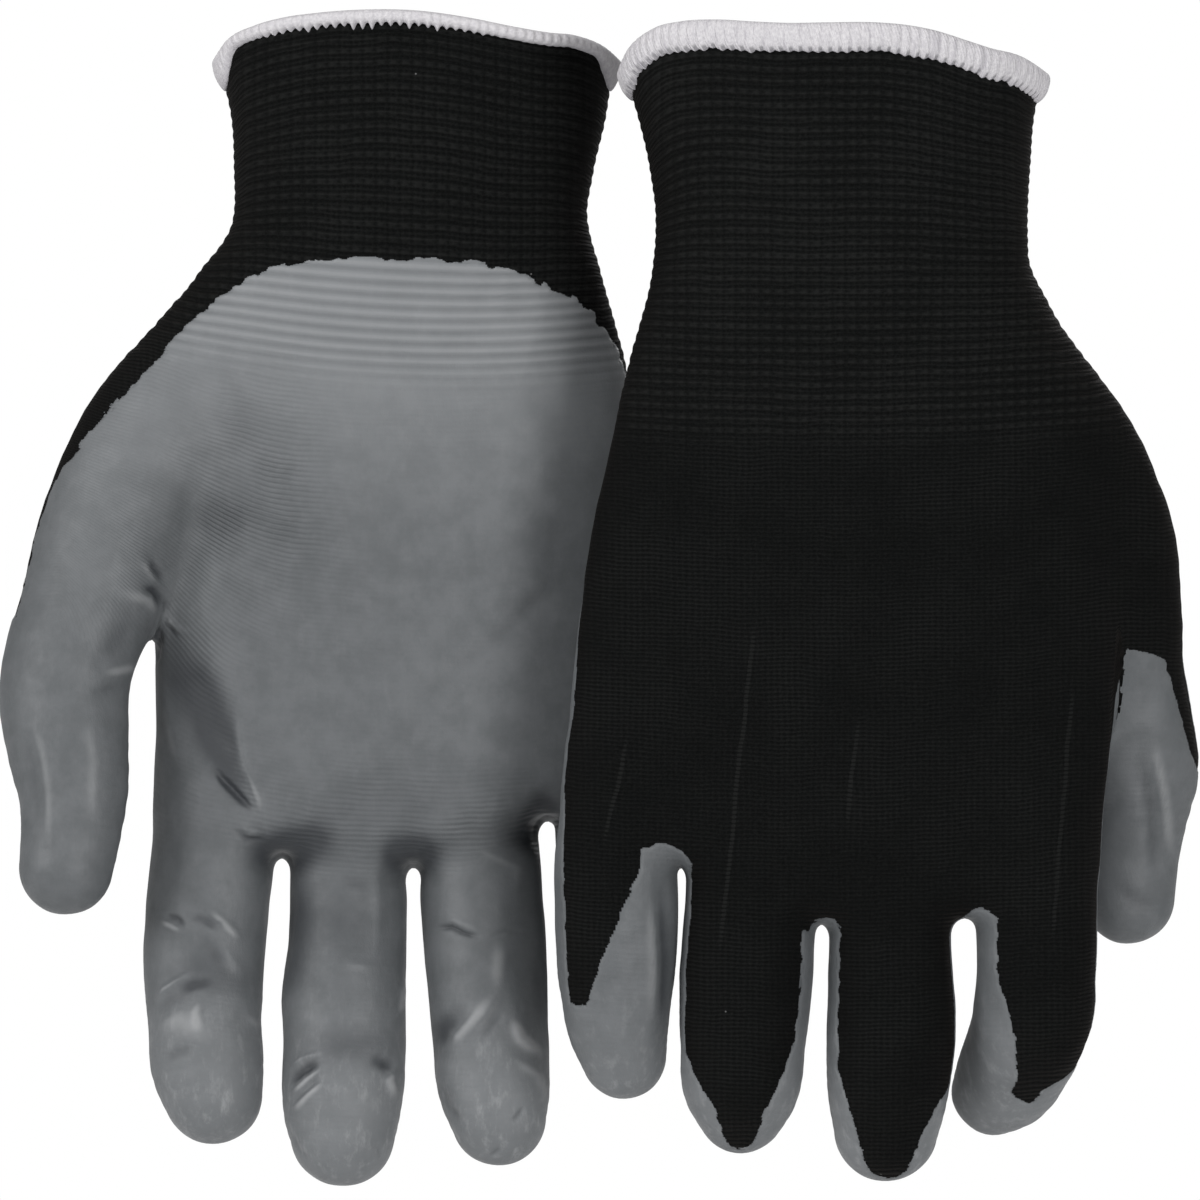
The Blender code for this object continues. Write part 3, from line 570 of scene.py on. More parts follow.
class Glove:
    """The shape of one glove in its own frame."""

    def __init__(self, name, tables, turned):
        self.name, self.tables = name, tables
        self.spines = {digit: Spine(line) for digit, line in tables["digits"].items()}
        low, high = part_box(f"{name}_cuff")
        _, thumb_side, little_side = tables["hand"][0][:3]
        middle = (low + high) / 2
        offset = (thumb_side + little_side) / 2 * MM
        place = Vector((middle.x + (offset if turned else -offset), middle.y, 0.0))
        self.world = Matrix.Translation(place) @ Matrix.Rotation(math.pi if turned else 0.0, 4, "Z")
        self.bends = {digit: Bends(self, digit) for digit in DIGITS}
        self.skin_top = tables["hem"]["top"] - SKIN_BELOW_HEM

    def section(self, height):
        """Centre and half sizes of the hand's section: x, y, half width, half depth."""
        thumb_side, little_side, palm, back = smooth_read(self.tables["hand"], height).T
        half_wide, half_deep = (little_side - thumb_side) / 2, (back - palm) / 2
        return (thumb_side + little_side) / 2, (palm + back) / 2, half_wide, half_deep

    def across(self, points):
        middle, _, half_wide, _ = self.section(points[:, 2])
        return np.clip((points[:, 0] - middle) / half_wide, -1.0, 1.0)

    def rim(self, across):
        return smooth_read(self.tables["rim"], across)[:, 0]

    def level(self, points):
        """Height along the knitted rows, which follow the rim's curve at the top and sag over the palm."""
        x, _, z = points.T
        depth, middle, half_wide = self.tables["sag"]
        sag = depth * np.maximum(1 - ((x - middle) / half_wide) ** 2, -1.0) * fade(z, SAG_FROM, SAG_TO)
        return z - self.rim(self.across(points)) * fade(z, RIM_FADES_AT, 0.0) + sag

    def hand_distance(self, points):
        """Distance to the hand without its digits: squarish sections, rounded off at the knuckles."""
        middle_x, middle_y, half_wide, half_deep = self.section(points[:, 2])
        u, v = (points[:, 0] - middle_x) / half_wide, (points[:, 1] - middle_y) / half_deep
        size = (np.abs(u) ** SQUARENESS + np.abs(v) ** SQUARENESS) ** (1 / SQUARENESS)
        size = np.maximum(size, 0.05)
        slope_u = (np.abs(u) / size) ** (SQUARENESS - 1) / half_wide
        slope_v = (np.abs(v) / size) ** (SQUARENESS - 1) / half_deep
        side = (size - 1) / np.sqrt(slope_u**2 + slope_v**2)
        end = smooth_read(self.tables["knuckles"], points[:, 0])[:, 0] - points[:, 2]
        return -smooth_min(-side, -end, KNUCKLE_ROUND)

    def digit_distances(self, points):
        """Distance to each digit, one column each."""
        return np.column_stack([self.spines[digit].distance(points) for digit in DIGITS])

    def distance(self, points):
        """Distance to the whole glove's skin, with its parts run together."""
        thumb, *fingers = np.minimum(self.digit_distances(points), NOWHERE).T
        joined = np.full(len(points), NOWHERE)
        for finger in fingers:
            joined = smooth_min(joined, finger, NEXT_FINGER_BLEND)
        whole = smooth_min(self.hand_distance(points), thumb, THUMB_BLEND)
        return smooth_min(whole, joined, FINGER_BLEND) + SNUG


def surface_net(values, axes):
    """Corners and quads of the zero level of a field on a grid: one corner in each cell that it crosses."""
    inside = values < 0
    cells = tuple(n - 1 for n in values.shape)
    count = np.zeros(cells, np.int8)
    offsets = [(i, j, k) for i in (0, 1) for j in (0, 1) for k in (0, 1)]
    for i, j, k in offsets:
        count += inside[i : i + cells[0], j : j + cells[1], k : k + cells[2]]
    active = np.argwhere((count > 0) & (count < 8))
    number = np.full(cells, -1, np.int64)
    number[tuple(active.T)] = np.arange(len(active))
    total, hits = np.zeros((len(active), 3)), np.zeros(len(active))
    for a in offsets:
        for axis in range(3):
            if a[axis]:
                continue
            b = tuple(1 if n == axis else a[n] for n in range(3))
            first, second = active + a, active + b
            va, vb = values[tuple(first.T)], values[tuple(second.T)]
            crossed = (va < 0) != (vb < 0)
            share = np.where(crossed, va / np.where(crossed, va - vb, 1.0), 0.0)
            pa = np.column_stack([axes[n][first[:, n]] for n in range(3)])
            pb = np.column_stack([axes[n][second[:, n]] for n in range(3)])
            total += np.where(crossed[:, None], pa + (pb - pa) * share[:, None], 0.0)
            hits += crossed
    corners = total / hits[:, None]
    quads = []
    for axis in range(3):
        one, two = [n for n in range(3) if n != axis]
        lower = np.take(inside, range(values.shape[axis] - 1), axis)
        upper = np.take(inside, range(1, values.shape[axis]), axis)
        edges = np.argwhere(lower != upper)
        edges = edges[(edges[:, one] > 0) & (edges[:, two] > 0)]
        edges = edges[(edges[:, one] < cells[one]) & (edges[:, two] < cells[two])]
        around = []
        for step_one, step_two in ((1, 1), (0, 1), (0, 0), (1, 0)):
            cell = edges.copy()
            cell[:, one] -= step_one
            cell[:, two] -= step_two
            around.append(number[tuple(cell.T)])
        ring = np.column_stack(around)
        flip = lower[tuple(edges.T)] != (axis == 1)
        ring[~flip] = ring[~flip][:, ::-1]
        quads.append(ring)
    return corners, np.vstack(quads)


def corner_normals(corners, quads):
    """A smooth normal at each corner, from the faces around it."""
    a, b, c, d = (corners[quads[:, n]] for n in range(4))
    facing = np.cross(c - a, d - b)
    normals = np.zeros_like(corners)
    for n in range(4):
        for axis in range(3):
            normals[:, axis] += np.bincount(quads[:, n], facing[:, axis], len(corners))
    return normals / np.maximum(np.linalg.norm(normals, axis=1, keepdims=True), 1e-12)


def relax(corners, quads):
    """Each corner moved halfway to the middle of its neighbours."""
    total, hits = np.zeros_like(corners), np.zeros(len(corners))
    for n in range(4):
        here, after = quads[:, n], quads[:, (n + 1) % 4]
        for one, other in ((here, after), (after, here)):
            hits += np.bincount(one, minlength=len(corners))
            for axis in range(3):
                total[:, axis] += np.bincount(one, corners[other, axis], len(corners))
    return (corners + total / np.maximum(hits, 1)[:, None]) / 2


def skin(field, low, high, heights, wide):
    """A smooth mesh on the zero level of a field inside a box."""
    axes = [np.arange(low[0], high[0], wide), np.arange(low[1], high[1], wide), heights]
    grid = np.stack(np.meshgrid(*axes, indexing="ij"), -1)
    values = field(grid.reshape(-1, 3)).reshape(grid.shape[:3])
    corners, quads = surface_net(values, axes)
    for _ in range(3):
        corners = relax(corners, quads)
        corners -= corner_normals(corners, quads) * field(corners)[:, None]
    return corners, quads


def lattice_noise(points, cell, seed):
    """Smooth noise from -1 to 1 on a lattice of the given cell."""
    place = points / cell
    base = np.floor(place)
    share = place - base
    share = share * share * (3 - 2 * share)
    total = np.zeros(len(points))
    for corner in [(i, j, k) for i in (0, 1) for j in (0, 1) for k in (0, 1)]:
        key = np.sin((base + corner) @ LATTICE_MIX + seed * SEED_STEP) * SCATTER
        weight = np.prod(np.where(np.array(corner), share, 1 - share), axis=1)
        total += weight * (key - np.floor(key))
    return total * 2 - 1


def distance_to_line(points, line):
    """Distance from points in the x-z plane to a bent line, and the share of its length passed."""
    line = np.array(line, float)
    lengths = np.linalg.norm(np.diff(line, axis=0), axis=1)
    marks = np.concatenate(([0.0], np.cumsum(lengths))) / lengths.sum()
    best, passed = np.full(len(points), np.inf), np.zeros(len(points))
    for a, b, start, end in zip(line, line[1:], marks, marks[1:]):
        step = b - a
        share = np.clip((points - a) @ step / (step @ step), 0.0, 1.0)
        gap = np.linalg.norm(points - a - share[:, None] * step, axis=1)
        closer = gap < best
        best = np.where(closer, gap, best)
        passed = np.where(closer, start + share * (end - start), passed)
    return best, passed


class Surface:
    """One glove's skin with everything that is read off its shape before it is ribbed, creased and coated."""

    def __init__(self, glove):
        self.glove = glove
        coarse = np.arange(SKIN_END, FINE_ABOVE, GRID_COARSE)
        fine = np.arange(FINE_ABOVE, SKIN_TOP, GRID_FINE)
        heights = np.concatenate((coarse, fine))
        self.corners, self.quads = skin(glove.distance, *SKIN_BOX, heights, GRID_WIDE)
        self.normals = corner_normals(self.corners, self.quads)
        gaps = glove.digit_distances(self.corners)
        self.digit, self.digit_gap = gaps.argmin(1), gaps.min(1)
        self.hand_gap = glove.hand_distance(self.corners)
        self.level = glove.level(self.corners)
        self.split()

    def split(self):
        """How far each corner lies towards the back, over from its digit's middle and across the hand."""
        x, y, z = self.corners.T
        middle_x, middle_y, half_wide, _ = self.glove.section(z)
        on_digit = fade(self.digit_gap - self.hand_gap, PART_BLEND, -PART_BLEND)
        centre_x, centre_y, radius = np.zeros(len(x)), np.zeros(len(x)), np.ones(len(x))
        for number, digit in enumerate(DIGITS):
            mine = self.digit == number
            spot = self.glove.spines[digit].at_height(z[mine])
            centre_x[mine], centre_y[mine], radius[mine] = spot.T
        self.backward = y - (middle_y + (centre_y - middle_y) * on_digit)
        self.over, self.radius = (x - centre_x) / radius, radius
        self.across = np.clip((x - middle_x) / half_wide, -1.0, 1.0)

    def home_faces(self, centres):
        """Which piece each face belongs to: 0 is the hand, then the root and the end piece of each digit."""
        home = np.zeros(len(centres), int)
        first = self.quads[:, 0]
        for number, name in enumerate(DIGITS):
            bends = self.glove.bends[name]
            past_root = (centres - bends.root.point) @ bends.way
            mine = (self.digit[first] == number) & (past_root > -bends.reach - CUT_MARGIN)
            mine &= self.digit_gap[first] < DIGIT_NEAR
            beyond = mine & (past_root > bends.span / 2)
            home[mine], home[beyond] = 2 * number + 1, 2 * number + 2
        return home


def coat_depth(surface):
    """How far inside the dipped coating each corner lies, in millimetres. Bare knit is negative."""
    tables = surface.glove.tables
    x, _, z = surface.corners.T
    arch, before, after = (smooth_read(tables["coat_top"], x + step)[:, 0] for step in (0.0, -1.0, 1.0))
    below_arch = (arch - z) / np.hypot(1.0, (after - before) / 2)
    lean = (surface.across + 1) / 2
    wrap = smooth_read(tables["coat_wrap"], z)
    palm_side = wrap[:, 0] * (1 - lean) + wrap[:, 1] * lean - surface.backward
    bare = np.full(len(z), -FAR)
    for number, digit in enumerate(DIGITS):
        tongue = dict(zip(TONGUE, tables["tongues"][digit]))
        rise = np.clip((z - tongue["end"]) / tongue["length"], 0.0, 1.0) ** tongue["taper"]
        rise = tongue["blunt"] + (1 - tongue["blunt"]) * rise
        thumb_edge = tongue["lean"] - (tongue["thumb"] + tongue["lean"]) * rise
        little_edge = tongue["lean"] + (tongue["little"] - tongue["lean"]) * rise
        if digit == "thumb" and "thumb_edge" in tables:
            little_edge = smooth_read(tables["thumb_edge"], z)[:, 0]
        sideways = np.minimum(surface.over - thumb_edge, little_edge - surface.over) * surface.radius
        mine = surface.digit == number
        bare[mine] = smooth_min(sideways, z - tongue["end"], TONGUE_ROUND)[mine]
    above = np.full(len(z), FAR)
    for apex_x, apex_z, half_wide, rise in tables["crotches"]:
        up = np.maximum(z - (apex_z - rise), 0.0) / rise
        above = np.minimum(above, (np.hypot((x - apex_x) / half_wide, up) - 1) * half_wide)
    hand_bare = np.minimum(above, z - smooth_read(tables["hand_bare_above"], x)[:, 0])
    on_thumb = (surface.digit == 0) & (surface.digit_gap < surface.hand_gap)
    bare = np.maximum(bare, np.where(on_thumb, -FAR, hand_bare))
    return np.minimum(below_arch, np.maximum(palm_side, -bare))


def ribs(surface):
    """Height of the knitted ridges that run round the cuff and fade out over the hand."""
    back = fade(surface.backward, *SIDE_TO_SIDE)
    end = RIBS_END_PALM + (RIBS_END_BACK - RIBS_END_PALM) * back
    share = fade(surface.level - end, 0.0, RIBS_FADE)
    wave = 0.5 - 0.5 * np.cos(2 * np.pi * surface.level / RIB_PITCH)
    # The third value, the swell, only colours the coating: painted highlight on the rib crests, painted shade
    # in the grooves.
    return RIB_HEIGHT * share * (wave**RIB_SHARPNESS - 0.5), wave * share, (wave - 0.5) * share


def creases(glove, points, backward):
    """Depth of the folds pressed into the glove, each a bent line, narrow or broad. A ridge is negative."""
    flat = points[:, (0, 2)]
    total = np.zeros(len(flat))
    for side, lines in ((1, glove.tables["creases"]), (-1, glove.tables["back_creases"])):
        facing = fade(backward * side, *CREASE_SIDE)
        for width, depth, line in lines:
            low, high = np.min(line, 0) - 3 * width, np.max(line, 0) + 3 * width
            near = np.flatnonzero(((flat > low) & (flat < high)).all(1) & (facing > 0))
            gap, passed = distance_to_line(flat[near], line)
            steps = np.linalg.norm(np.diff(line, axis=0), axis=1)
            slim = min(steps.sum() / (CREASE_SLIM * width), 1.0)
            ends = 1 - slim * (1 - fade(np.minimum(passed, 1 - passed), *CREASE_ENDS))
            total[near] += depth * facing[near] * np.exp(-((gap / width) ** 2)) * ends
    return total


def split_quads(values, quads, parts):
    """Quads parted evenly into parts x parts, with their corner values spread over the new corners."""
    steps = np.arange(parts + 1) / parts
    u, v = (grid.ravel() for grid in np.meshgrid(steps, steps, indexing="ij"))
    weights = np.column_stack(((1 - u) * (1 - v), u * (1 - v), u * v, (1 - u) * v))
    spread = np.einsum("mk,nkc->nmc", weights, values[quads]).reshape(-1, values.shape[1])
    row = parts + 1
    first = np.add.outer(np.arange(parts) * row, np.arange(parts)).ravel()
    cells = np.column_stack((first, first + row, first + row + 1, first + 1))
    return spread, (np.arange(len(quads))[:, None, None] * row * row + cells).reshape(-1, 4)


def merged(values, quads):
    """The same mesh with the corners that share a place made one."""
    places = np.round(values[:, :3] / SAME_PLACE).astype(np.int64)
    places -= places.min(0)
    spans = places.max(0) + 1
    keys = (places[:, 0] * spans[1] + places[:, 1]) * spans[2] + places[:, 2]
    _, first, inverse = np.unique(keys, return_index=True, return_inverse=True)
    return values[first], inverse.ravel()[quads]


class Layer:
    """A mesh of knit or coating: displaced corners, faces, normals, and what its material reads."""

    def __init__(self, corners, all_quads, kept, rest, home, readings):
        self.corners, self.quads, self.rest, self.home = corners, all_quads[kept], rest, home[kept]
        self.normals = corner_normals(corners, all_quads)
        self.readings = {"rest": rest, **readings}


def patches(x, z, table):
    """Soft round patches on the palm or back, added up."""
    total = 0.0
    for share, middle_x, middle_z, wide, tall in table:
        total = total + share * np.exp(-(((x - middle_x) / wide) ** 2) - ((z - middle_z) / tall) ** 2)
    return total


class Cloth:
    """The glove's skin with what the knit and the coating both read off it, corner by corner."""

    def __init__(self, glove):
        self.glove, self.surface = glove, Surface(glove)
        corners, level, backward = self.surface.corners, self.surface.level, self.surface.backward
        self.inside = coat_depth(self.surface)
        ridge, self.wave, self.swell = ribs(self.surface)
        uneven = CLOTH_UNEVEN * lattice_noise(corners, CLOTH_CELL, 1)
        uneven += CLOTH_UNEVEN / 2 * lattice_noise(corners, CLOTH_CELL / 3, 2)
        self.height = ridge + uneven * fade(level, *CLOTH_EVENS)
        x, _, z = corners.T
        lift = smooth_read(THENAR_LIFT, z)[:, 0]
        lift *= np.clip((THENAR_FROM - x) / THENAR_WIDE, 0.0, 2.0) ** 2 * fade(backward, *PALM_SIDE)
        self.course = level - lift
        self.shown_rows = ROWS_SHOWN + patches(x, z, ROW_PATCHES)
        self.centres = corners[self.surface.quads].mean(1)
        self.home = self.surface.home_faces(self.centres)


def knit_layer(cloth):
    """The knit, which ends just inside the border of the coating."""
    surface = cloth.surface
    height = cloth.height - creases(cloth.glove, surface.corners, surface.backward)
    corners = surface.corners + surface.normals * height[:, None]
    bare = cloth.inside[surface.quads].min(1) < COAT_OVERLAP
    weave = np.column_stack((cloth.course, cloth.wave, np.zeros(len(corners))))
    readings = {"weave": weave, "facing": surface.normals}
    return Layer(corners, surface.quads, bare, surface.corners, cloth.home, readings)


def coating_mesh(cloth):
    """The skin under the coating, finer over the palm and at the coating's border: values, quads, homes."""
    surface, inside = cloth.surface, cloth.inside[cloth.surface.quads]
    read = (cloth.height, cloth.inside, surface.backward, cloth.course, cloth.shown_rows)
    read += (surface.level, cloth.swell)
    values = np.column_stack((surface.corners, surface.normals, *read))
    near_edge = (np.abs(inside) < EDGE_BAND).any(1) | (np.ptp(np.sign(inside), axis=1) > 0)
    palm = (surface.normals[surface.quads[:, 0], 1] < PALM_FACING) & (cloth.centres[:, 2] < FINE_PALM_BELOW)
    wanted = (inside > -EDGE_BAND).any(1)
    finely = wanted & (near_edge | palm)
    plainly = wanted & ~finely
    fine, fine_quads = split_quads(values, surface.quads[finely], FINE_PARTS)
    plain, plain_quads = split_quads(values, surface.quads[plainly], 1)
    both, quads = merged(np.vstack((fine, plain)), np.vstack((fine_quads, plain_quads + len(fine))))
    homes = np.concatenate((np.repeat(cloth.home[finely], FINE_PARTS**2), cloth.home[plainly]))
    return both, quads, homes


def coating_layer(cloth):
    """The coating, a little proud of the knit, with a ragged border that follows single stitches."""
    values, quads, homes = coating_mesh(cloth)
    rest, facing = values[:, :3], values[:, 3:6]
    facing = facing / np.linalg.norm(facing, axis=1, keepdims=True)
    height, inside, backward, course, shown_rows, level, swell = values[:, 6:].T
    stitch = np.round(rest / EDGE_STITCH) * EDGE_STITCH
    on_arch = fade(rest[:, 2], *EDGE_ARCH)
    wander = EDGE_WANDER_FINGERS + (EDGE_WANDER - EDGE_WANDER_FINGERS) * on_arch
    inside = inside + wander * lattice_noise(stitch, EDGE_WANDER_CELL, 3)
    # The crease depth also goes to the material, which paints it as shade in folds and as highlight on
    # ridges.
    folded = creases(cloth.glove, rest, backward)
    proud = COAT_BORDER + (COAT_PROUD - COAT_BORDER) * fade(inside, 0.0, COAT_BEVEL)
    corners = rest + facing * (height - folded + proud)[:, None]
    covered = inside[quads].mean(1) > 0
    # Painted highlight: paler at the top of the palm, at the fingertips and over the thumb's root.
    pale = fade(level, *PAINTED_HIGHLIGHT_TOP) + TIPS_HIGHLIGHT_SHARE * fade(level, *PAINTED_HIGHLIGHT_TIPS)
    pale += patches(rest[:, 0], rest[:, 2], PAINTED_HIGHLIGHT_PATCHES)
    weave = np.column_stack((course, shown_rows, folded))
    marks = np.column_stack((swell, pale, inside))
    return Layer(corners, quads, covered, rest, homes, {"weave": weave, "marks": marks})


def mesh_object(name, corners, faces, normals=None, readings=None):
    """A smooth-shaded object from corner and face arrays in millimetres of the glove's frame."""
    used, inverse = np.unique(faces.ravel(), return_inverse=True)
    mesh = bpy.data.meshes.new(name)
    mesh.vertices.add(len(used))
    mesh.vertices.foreach_set("co", (corners[used] * MM).ravel())
    sides = faces.shape[1]
    mesh.loops.add(faces.size)
    mesh.loops.foreach_set("vertex_index", inverse.ravel().astype(np.int32))
    mesh.polygons.add(len(faces))
    mesh.polygons.foreach_set("loop_start", np.arange(0, faces.size, sides, dtype=np.int32))
    mesh.update(calc_edges=True)
    mesh.shade_smooth()
    for key, values in (readings or {}).items():
        attribute = mesh.attributes.new(key, "FLOAT_VECTOR", "POINT")
        attribute.data.foreach_set("vector", values[used].astype(np.float32).ravel())
    if normals is not None:
        mesh.normals_split_custom_set_from_vertices(normals[used])
    made = bpy.data.objects.new(name, mesh)
    bpy.context.scene.collection.objects.link(made)
    return made


def settle(made, glove, material, slot, *nodes):
    """Puts a piece into the world frame, gives it its material and hides the imported parts that it stands in
    for.
    """
    made.data.transform(glove.world)
    made.data.materials.append(material)
    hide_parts(*(f"{glove.name}_{node}" for node in nodes))
    return made


def bend(made):
    """Bakes the piece's placement into its mesh."""
    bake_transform(made)


def build_skin(glove, materials):
    """The glove's outside, parted into knit and coating and at the hinges of its digits."""
    cloth = Cloth(glove)
    for kind, layer in (("knit", knit_layer(cloth)), ("coating", coating_layer(cloth))):
        shown = glove.level(layer.rest[layer.quads].mean(1)) < glove.skin_top
        layer_name = "liner" if kind == "knit" else "coating"

        def piece(name, home, *nodes):
            faces = layer.quads[(layer.home == home) & shown]
            name = f"{glove.name}_{name}_{kind}_skin"
            made = mesh_object(name, layer.corners, faces, layer.normals, layer.readings)
            return settle(made, glove, materials[kind], kind, *nodes)

        hand_nodes = ("cuff", "hand_liner", "finger_root_web") if kind == "knit" else ("palm_coating",)
        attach(piece("hand", 0, *hand_nodes), f"{glove.name}_hand")
        for number, digit in enumerate(DIGITS):
            nodes = [f"{digit}_base_{layer_name}"]
            if digit == "thumb" and kind == "knit":
                nodes.append("thumb_root_web")
            root_piece = piece(f"{digit}_base", 2 * number + 1, *nodes)
            bend(root_piece)
            end_piece = piece(f"{digit}_tip", 2 * number + 2, f"{digit}_tip_{layer_name}")
            bend(end_piece)


def build_lining(glove, materials):
    """The inner face of the cuff and hand, seen through the cuff's mouth."""
    heights = np.arange(LINING_END, SKIN_TOP, LINING_GRID)

    def inner(points):
        deeper = LINING_INSET + (LINING_DEEPER - LINING_INSET) * fade(points[:, 2], *LINING_DEEPENS)
        return glove.hand_distance(points) + deeper

    corners, quads = skin(inner, *LINING_BOX, heights, LINING_GRID)
    above = glove.level(corners) - glove.skin_top
    quads = quads[above[quads].min(1) < 0][:, ::-1]
    corners[:, 2] -= np.maximum(above, 0.0)
    flat = np.zeros(len(corners))
    weave = np.column_stack((glove.level(corners), flat, flat))
    readings = {"rest": corners, "weave": weave, "facing": corner_normals(corners, quads)}
    made = mesh_object(f"{glove.name}_lining", corners, quads, readings=readings)
    settle(made, glove, materials["elastic"], "elastic", "cuff_elastic")
    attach(made, f"{glove.name}_hand")


def squarish(wave):
    """A cosine or sine turned into the place on a squarish oval."""
    return np.sign(wave) * np.abs(wave) ** (2 / SQUARENESS)


def rim_walk(glove, count):
    """Even steps round the cuff's mouth, as angles of its squarish oval."""
    angles = np.linspace(0, 2 * np.pi, RIM_STEPS)
    points = rim_points(glove, angles, 0.0, 0.0)
    steps = np.linalg.norm(np.diff(points, axis=0), axis=1)
    passed = np.concatenate(([0.0], np.cumsum(steps)))
    return np.interp(np.arange(count) / count * passed[-1], passed, angles)


def rim_points(glove, angles, below, outward):
    """Points near the cuff's mouth, by angle round it, height against its rim and distance off the cuff."""
    across, deep = squarish(np.cos(angles)), squarish(np.sin(angles))
    height = glove.rim(across) + below
    middle_x, middle_y, half_wide, half_deep = glove.section(height)
    x = middle_x + (half_wide + outward) * across
    y = middle_y + (half_deep + outward) * deep
    return np.column_stack((x, y, height))


def ring_quads(columns, sides):
    """Quads of a closed ring of tube whose corners run round the ring, side by side."""
    here = np.arange(columns)
    after = (here + 1) % columns
    faces = []
    for side in range(sides):
        one, two = side * columns, (side + 1) % sides * columns
        faces.append(np.column_stack((one + here, two + here, two + after, one + after)))
    return np.vstack(faces)


def build_hem(glove, materials):
    """The overlocked hem: a soft roll of thread over the cuff's edge, nipped and pronged at each stitch."""
    hem = glove.tables["hem"]
    columns = hem["stitches"] * HEM_STEPS
    angles = rim_walk(glove, columns)
    phase = np.arange(columns) / HEM_STEPS
    chance = np.sin(np.floor(phase) * HEM_SCATTER + hem["seed"]) * SCATTER
    chance -= np.floor(chance)
    beat = 0.5 - 0.5 * np.cos(2 * np.pi * phase)
    height = hem["height"] * (1 + HEM_UNEVEN * (chance - 0.5))
    across = squarish(np.cos(angles))
    prong = hem["prong"] * (0.7 + 0.6 * chance) * beat ** hem["narrow"]
    prong *= smooth_read(glove.tables["hem_prongs"], across)[:, 0]
    droop = hem["droop"] * fade(abs(across), HEM_DROOP_FROM, 1.0)
    nip = HEM_NIP * (1 - beat) ** 2 * (0.3 + chance)
    rings, lows = [], []
    for side in range(HEM_SIDES):
        turn = 2 * np.pi * side / HEM_SIDES
        out, up = -math.cos(turn), math.sin(turn)
        low = max(-up, 0.0)
        upward = math.copysign(abs(up) ** HEM_SQUARE, up)
        sideways = math.copysign(abs(out) ** HEM_SQUARE, out) * (1 - HEM_NARROWS * low**3)
        below = hem["top"] - height / 2 + height / 2 * upward - prong * low**2 - droop * low
        outward = HEM_OUT - KNIT_DEPTH / 2 + (hem["thick"] / 2 - nip) * sideways
        rings.append(rim_points(glove, angles, below, outward))
        lows.append(np.full(columns, low))
    corners, quads = np.concatenate(rings), ring_quads(columns, HEM_SIDES)
    grooved = np.full(len(corners), hem["grooved"])
    weave = np.column_stack((np.tile(phase, HEM_SIDES), grooved, np.concatenate(lows)))
    readings = {"rest": corners, "weave": weave}
    made = mesh_object(f"{glove.name}_hem_band", corners, quads, readings=readings)
    settle(made, glove, materials["hem"], "hem", "hem")
    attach(made, f"{glove.name}_hand")


class Nodes:
    """Short ways to add and join shader nodes."""

    def __init__(self, name):
        self.material = bpy.data.materials.new(name)
        self.material.use_nodes = True
        self.tree = self.material.node_tree
        self.shader = self.tree.nodes["Principled BSDF"]

    def put(self, socket, value):
        if isinstance(value, bpy.types.NodeSocket):
            self.tree.links.new(value, socket)
        else:
            socket.default_value = value

    def set(self, **values):
        for key, value in values.items():
            self.put(self.shader.inputs[key.replace("_", " ")], value)

    def add(self, kind, inputs, **settings):
        """The outputs of a new node, given its inputs by name or number and its settings."""
        node = self.tree.nodes.new(f"ShaderNode{kind}")
        for key, value in settings.items():
            setattr(node, key, value)
        for key, value in inputs.items():
            self.put(node.inputs[key], value)
        return node.outputs

    def reading(self, name):
        return self.add("Attribute", {}, attribute_name=name)["Vector"]

    def parts(self, vector):
        return self.add("SeparateXYZ", {0: vector})

    def vector(self, *values):
        return self.add("CombineXYZ", dict(enumerate(values)))[0]

    def math(self, operation, *values):
        return self.add("Math", dict(enumerate(values)), operation=operation)[0]

    def times(self, value, factor):
        return self.math("MULTIPLY", value, factor)

    def times_add(self, value, factor, extra):
        return self.math("MULTIPLY_ADD", value, factor, extra)

    def wave(self, value, pitch):
        """A wave from 0 to 1 with the given pitch."""
        return self.times_add(self.math("SINE", self.times(value, 2 * math.pi / pitch)), 0.5, 0.5)

    def ramp(self, value, low, high, to_low=0.0, to_high=1.0):
        keys = ("Value", "From Min", "From Max", "To Min", "To Max")
        inputs = dict(zip(keys, (value, low, high, to_low, to_high)))
        return self.add("MapRange", inputs, interpolation_type="SMOOTHSTEP")["Result"]

    def noise(self, vector, scale, detail=2.0, roughness=0.5):
        inputs = {"Vector": vector, "Scale": scale, "Detail": detail, "Roughness": roughness}
        return self.add("TexNoise", inputs)["Fac"]

    def specks(self, vector, scale):
        outputs = self.add("TexVoronoi", {"Vector": vector, "Scale": scale})
        return outputs["Distance"], outputs["Color"]

    def stretched(self, vector, scale):
        return self.add("VectorMath", {0: vector, 1: scale}, operation="MULTIPLY")[0]

    def mix(self, share, first, second):
        return self.add("Mix", {0: share, 6: first, 7: second}, data_type="RGBA")[2]

    def bump(self, height, distance):
        return self.add("Bump", {"Height": height, "Distance": distance, "Strength": 1.0})["Normal"]


def grey(value):
    return (value, value, value, 1.0)


def ladder(nodes, x, z, start, end):
    """A slanting line of opened stitches on the back: 1 on the line, 0 off it."""
    slope = (end[0] - start[0]) / (end[1] - start[1])
    line_x = nodes.times_add(z, slope, start[0] - slope * start[1])
    away = nodes.math("ABSOLUTE", nodes.math("SUBTRACT", line_x, x))
    low_end = nodes.ramp(z, end[1], end[1] + LADDER_FADE)
    high_end = nodes.ramp(z, start[1], start[1] - LADDER_FADE)
    along = nodes.times(low_end, high_end)
    return nodes.times(nodes.ramp(away, LADDER_WIDE, LADDER_WIDE / 3), along)


